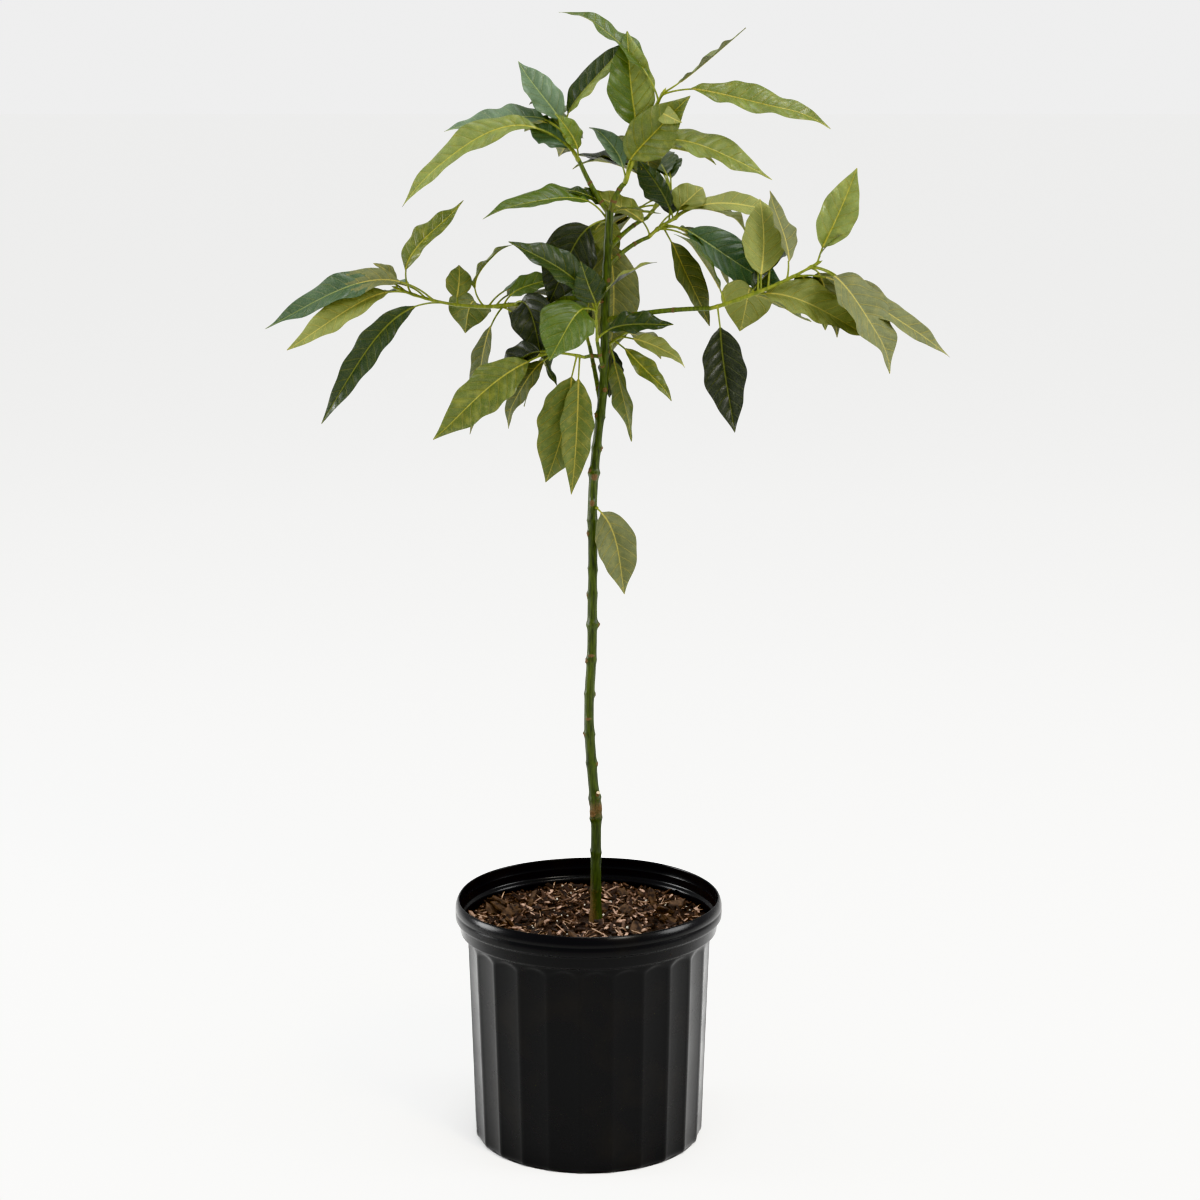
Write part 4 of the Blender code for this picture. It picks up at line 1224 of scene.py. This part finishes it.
def part_tone(word, u, v):
    """A tone, or two: joined by a bar for the halves of a blade, by > for foot and rest. Joined by
    a bar, one half is in painted shade and the other is lit.
    """
    if "|" in word:
        return word.split("|")[v > 0]
    if ">" in word:
        return word.split(">")[u > 0.3 + 0.08 * math.sin(5 * v)]
    return word


def main_tone(word):
    return word.replace(">", "|").split("|")[-1]

# %% Gathering the blades of one mass


class Blades:
    """All blades of one mass: points, faces, their UVs and their tones."""

    def __init__(self):
        self.points, self.faces, self.tones = [], [], []
        self.metres, self.shares = [], []

    def add(self, leaf, habit, tones):
        """Adds a blade; tones are those of the side along its facing, and of the other."""
        ribbed = 1 if main_tone(tones[0]) in UNDERSIDES else -1
        columns = [math.copysign(abs(s) ** 1.5, s) for s in
                   (2 * step / BLADE_COLUMNS - 1 for step in range(BLADE_COLUMNS + 1))]
        length = leaf.length * (1 - leaf.petiole)
        skins = []
        for sign in (1, -1):
            grid = []
            for row in range(BLADE_ROWS + 1):
                u = (row / BLADE_ROWS) ** 0.92
                line = []
                for place, v in enumerate(columns):
                    if sign < 0 and place in (0, BLADE_COLUMNS):
                        line.append(skins[0][row][place])
                        continue
                    point, up, half = blade_point(leaf, habit, u, v)
                    rib = bump(half * v / RIB_WIDTH) * (1 - 0.75 * u) * min(half / (4 * MM), 1)
                    thick = BLADE_THICKNESS / 2 * (1.0 if 0 < place < BLADE_COLUMNS else 0.0)
                    stand = RIB_HEIGHT * rib * (1.0 if sign == ribbed else -0.25)
                    self.points.append(point + up * sign * (thick + stand))
                    self.metres.append((u * length, half * v))
                    self.shares.append((u, v))
                    line.append(len(self.points) - 1)
                grid.append(line)
            skins.append(grid)
        for grid, tone, flip in zip(skins, tones, (False, True)):
            for row, (low, high) in enumerate(zip(grid, grid[1:])):
                for place in range(BLADE_COLUMNS):
                    a, b, c, d = low[place], low[place + 1], high[place + 1], high[place]
                    here = part_tone(tone, row / BLADE_ROWS, columns[place] + columns[place + 1])
                    for face in ((a, b, c), (a, c, d)):
                        self.faces.append(face[::-1] if flip else face)
                        self.tones.append(here)
        for row in (0, BLADE_ROWS):
            top, under = skins[0][row], skins[1][row]
            for place in range(BLADE_COLUMNS):
                face = [top[place], top[place + 1], under[place + 1], under[place]]
                face = list(dict.fromkeys(face if row else face[::-1]))
                if len(face) > 2:
                    self.faces.append(tuple(face))
                    self.tones.append(main_tone(tones[0]))

    def mesh(self, name, materials):
        made = bpy.data.meshes.new(name)
        made.from_pydata(self.points, [], self.faces)
        for label, values in (("blade_metres", self.metres), ("blade_shares", self.shares)):
            layer = made.uv_layers.new(name=label)
            corners = [0] * len(made.loops)
            made.loops.foreach_get("vertex_index", corners)
            layer.data.foreach_set("uv", [n for corner in corners for n in values[corner]])
        used = sorted(set(self.tones))
        for tone in used:
            made.materials.append(materials[tone])
        made.polygons.foreach_set("material_index", [used.index(tone) for tone in self.tones])
        made.shade_smooth()
        made.set_sharp_from_angle(angle=math.radians(60))
        return made

# %% [markdown]
# ## The finish of a leaf
#
# The upper side of an avocado leaf is leathery and shines, with sunk veins and a
# bluish bloom on old leaves. The underside is matt, paler, and its yellow veins
# stand out. Each green is a plain base colour for a whole side of a leaf, or for
# one half of a two-toned blade. Some greens carry painted light: the blue and sea
# greens hold a painted sheen over the bloom, the shade green is an underside in
# painted shade, and a two-toned blade has one half in painted shade. The veins
# follow the blade: a UV map in metres gives the distance along and across it, and
# side veins leave the midrib every 11 mm and bend towards the tip.

# %% Leaf finish
VEIN_PITCH = 11.0 * MM
VEIN_WIDTH = 0.55 * MM
VEIN_STRAY = 5.0 * MM
SPECK_BROWN = "#4b3f1e"


def leaf_finish(name, green, vein, gloss, raised, mottle, pale_patches):
    """One side of a leaf; raised is 1 where the veins stand out, -1 where they are sunk."""
    material, add, shade = new_material(name)
    along, across, _ = add("SeparateXYZ", add("UVMap", uv_map="blade_metres")).outputs
    far = add("SeparateXYZ", add("UVMap", uv_map="blade_shares")).outputs[0]
    out = add("Math ABSOLUTE", across)
    where = add("TexCoord").outputs["Object"]

    # Side veins: the distance along the blade, less a curve towards the tip
    wobble = add("TexNoise", Vector=where, Scale=60.0, Detail=1.0)
    stray = add("Math MULTIPLY", add("Math SUBTRACT", wobble, 0.5), VEIN_STRAY)
    side_shift = add("Math MULTIPLY", add("Math GREATER_THAN", across, 0.0), VEIN_PITCH * 0.45)
    bent = add("Math MULTIPLY", add("Math MULTIPLY", out, out), 14.0)
    curve = add("Math ADD", add("Math MULTIPLY", out, 0.62), bent)
    reached = add("Math ADD", add("Math SUBTRACT", along, curve),
                  add("Math ADD", stray, side_shift))
    phase = add("Math DIVIDE", reached, VEIN_PITCH)
    apart = add("Math ABSOLUTE", add("Math SUBTRACT", add("Math FRACT", phase), 0.5))
    near = add("Math MULTIPLY", apart, VEIN_PITCH)
    side_vein = add("MapRange", near, VEIN_WIDTH, VEIN_WIDTH * 0.3)

    # The midrib, thinner towards the tip, and the fine net between the veins
    rib_width = add("Math MULTIPLY_ADD", far, -0.75 * MM, 1.05 * MM)
    midrib = add("MapRange", out, rib_width, add("Math MULTIPLY", rib_width, 0.55))
    cells = add("TexVoronoi", Vector=where, Scale=480.0, feature="DISTANCE_TO_EDGE")
    net = add("MapRange", cells, 0.09, 0.02)

    # The green with its mottle, and over it pale patches, specks and all veins
    patches = add("TexNoise", Vector=where, Scale=45.0, Detail=6.0, Roughness=0.65)
    spread = add("MapRange", patches, 0.34, 0.68, 1.0 - mottle, 1.0 + mottle)
    grey = add("CombineColor", spread, spread, spread)
    colour = add("Mix", 1.0, green, grey, data_type="RGBA", blend_type="MULTIPLY")
    flecks = add("TexVoronoi", Vector=where, Scale=190.0)
    blotch = add("TexNoise", Vector=where, Scale=130.0, Detail=4.0)
    side_tint = 0.55 if raised > 0 else 0.34
    for share, tint in ((add("MapRange", blotch, 0.48, 0.75, 0.0, pale_patches), vein),
                        (add("MapRange", flecks, 0.13, 0.06, 0.0, 0.3), SPECK_BROWN),
                        (add("Math MULTIPLY", net, 0.16), vein),
                        (add("Math MULTIPLY", side_vein, side_tint), vein),
                        (add("Math MULTIPLY", midrib, 0.92), vein)):
        colour = add("Mix", share, colour, tint, data_type="RGBA")

    # Relief: the blade swells between its side veins and is a little uneven
    quilt = add("Math MULTIPLY", add("Math COSINE", add("Math MULTIPLY", phase, 2 * math.pi)), 0.35)
    ridges = add("Math ADD", side_vein, add("Math MULTIPLY", net, 0.25))
    uneven = add("Math SUBTRACT", quilt, add("Math MULTIPLY", patches, -0.3))
    height = add("Math ADD", add("Math MULTIPLY", ridges, float(raised)), uneven)
    shade({"Base Color": colour, "IOR": 1.45,
           "Roughness": add("MapRange", patches, 0.3, 0.7, gloss - 0.05, gloss + 0.09),
           "Normal": add("Bump", Strength=0.9, Distance=0.8 * MM, Height=height)})
    return material

# %% Tones of the leaves
# Each tone is (name, green, vein, share of pale patches)
# The blue and sea greens are partly the bluish bloom of the leaves and partly a painted sheen
UPPER_TONES = (
    ("dark", "#1b2b10", "#767a34", 0.06), ("deep", "#11180a", "#5d622c", 0.06),
    ("blue", "#53674f", "#94a066", 0.06), ("mid", "#3b4e1b", "#8f903a", 0.06),
    ("bright", "#55662a", "#a59f42", 0.06), ("lime", "#48541f", "#9f983e", 0.3),
    ("moss", "#57642d", "#a59a46", 0.2), ("sea", "#364b33", "#868f52", 0.06),
    ("fresh", "#647038", "#aaa348", 0.22))
# The shade green is the olive underside darkened as painted shade, for leaves that hang in shadow
UNDER_TONES = (
    ("pale", "#6d743c", "#b0a552", 0.1), ("olive", "#4a5627", "#9c9040", 0.24),
    ("grey", "#555b3a", "#9f9449", 0.16), ("shade", "#3d4523", "#8d8338", 0.1))
leaf_finishes = {}
for side, tones, gloss, raised, mottle in (("upper", UPPER_TONES, 0.34, -1, 0.16),
                                           ("under", UNDER_TONES, 0.6, 1, 0.1)):
    for tone, green, vein, patched in tones:
        leaf_finishes[tone] = leaf_finish(f"leaf_{side}_{tone}", green, vein, gloss, raised,
                                          mottle, patched)
UNDERSIDES = [tone for tone, *_ in UNDER_TONES]
print(len(leaf_finishes), "leaf finishes")

# %% [markdown]
# A row's tone is the side that the front shows. The other side takes a tone of
# the other kind: a leaf that shows its pale underside is dark above. Far leaves
# have their upper side up.

# %% Blades of every mass
DARK_SIDES = ("dark", "deep", "mid")
PALE_SIDES = ("olive", "grey", "shade", "pale")


def tones_of(leaf, near, chance):
    """Tones of the side along the leaf's facing, and of the other side."""
    shown, _, other = leaf.tone.partition("/")
    if not other:
        matt = main_tone(shown) in UNDERSIDES
        other = chance.choice(DARK_SIDES if matt else PALE_SIDES)
    away = near and leaf.frame(0.6)[2].dot(FRONT_WAY) < 0
    if away or (not near and main_tone(shown) in UNDERSIDES):
        return other, shown
    return shown, other


# Far blades end a little short of the tip of their solid
FAR_REACH = 0.92
habits = random.Random(5)
for name, *_, rows in MASSES:
    blades = Blades()
    for place, leaf in enumerate(grown[name]):
        near = place < len(rows)
        slender = min(0.3 * leaf.length / leaf.width, 1.0)
        habit = Habit(habits, 1.0 if near else FAR_REACH, slender)
        blades.add(leaf, habit, tones_of(leaf, near, habits))
    mesh = blades.mesh("blades_" + name, leaf_finishes)
    piece = add_piece("blades_" + name, mesh)
    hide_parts(name)

# %% [markdown]
# ## Stems, petioles and buds
#
# The stems are this year's wood: yellow-green, knuckled where each leaf leaves
# them, ending in a pointed resting bud. The petioles are grooved stalks about
# 2.5 mm thick that swell where they join the stem and run on into the midrib.

# %% Stems with their petioles
STEM_RINGS = 54
STEM_SIDES = 14
PETIOLE_RINGS = 16
PETIOLE_SIDES = 10
PETIOLE_OVERLAP = 1.04
BUD_RINGS = 12
BUD_SIDES = 10
twig_surface = Surface()


def stem_skin(length, foot, tip, stations):
    """Radius and scar along a stem, raised at the nodes of its leaves."""
    def skin(share, angle):
        radius = foot + (tip - foot) * share
        brown = 0.0
        for station in stations:
            knuckle = bump((share - station) * length / MM / 2.0)
            radius += 0.35 * knuckle * (tip / 1.3)
            brown = max(brown, 0.35 * knuckle)
        return (radius + 0.06 * math.sin(5 * angle)) * MM, brown
    return skin


def petiole_skin(share, angle):
    """A petiole: swollen where it joins its stem, and grooved above."""
    radius = 1.12 + 0.75 * math.exp(-share / 0.06) - 0.2 * share
    return radius * MM * (1 + 0.05 * math.cos(2 * angle)), 0.12 * math.exp(-share / 0.05)


def add_bud(start, ahead, length, radius):
    """A resting bud: a slim pointed egg of overlapping scales."""
    path = [start + ahead * (length * step / BUD_RINGS) for step in range(BUD_RINGS + 1)]
    twig_surface.sweep(path, BUD_SIDES, lambda share, angle: (
        radius * (math.sin(math.pi * (0.24 + 0.75 * share)) ** 0.9
                  + 0.06 * math.sin(3 * angle + 20 * share)) * (1.02 - share ** 3), 0.25))


for name, carrier, height, reach, rise, foot, tip, _, _ in MASSES:
    line = stem_lines[name]
    length = vector(reach).length
    stations = []
    for leaf in grown[name]:
        nearest = min(range(101), key=lambda step: (line(step / 100) - leaf.node).length)
        stations.append(nearest / 100)
        path = walk(lambda t: leaf.frame(t * leaf.petiole * PETIOLE_OVERLAP)[0], PETIOLE_RINGS)
        twig_surface.sweep(path, PETIOLE_SIDES, petiole_skin)
    path = walk(line, STEM_RINGS)
    twig_surface.sweep(path, STEM_SIDES, stem_skin(length, foot, tip, stations))
    ahead = (path[-1] - path[-2]).normalized()
    add_bud(path[-1] - ahead * 1 * MM, ahead, (8 if length > 40 * MM else 5) * MM, 1.5 * MM)

stem_bark = bark_finish("green_stem_skin", "#4f5a1c", "#83852f", 380.0, 0.38)
twigs = add_piece("stems_and_petioles", twig_surface.mesh("stems_and_petioles"), stem_bark)
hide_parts(*grown)
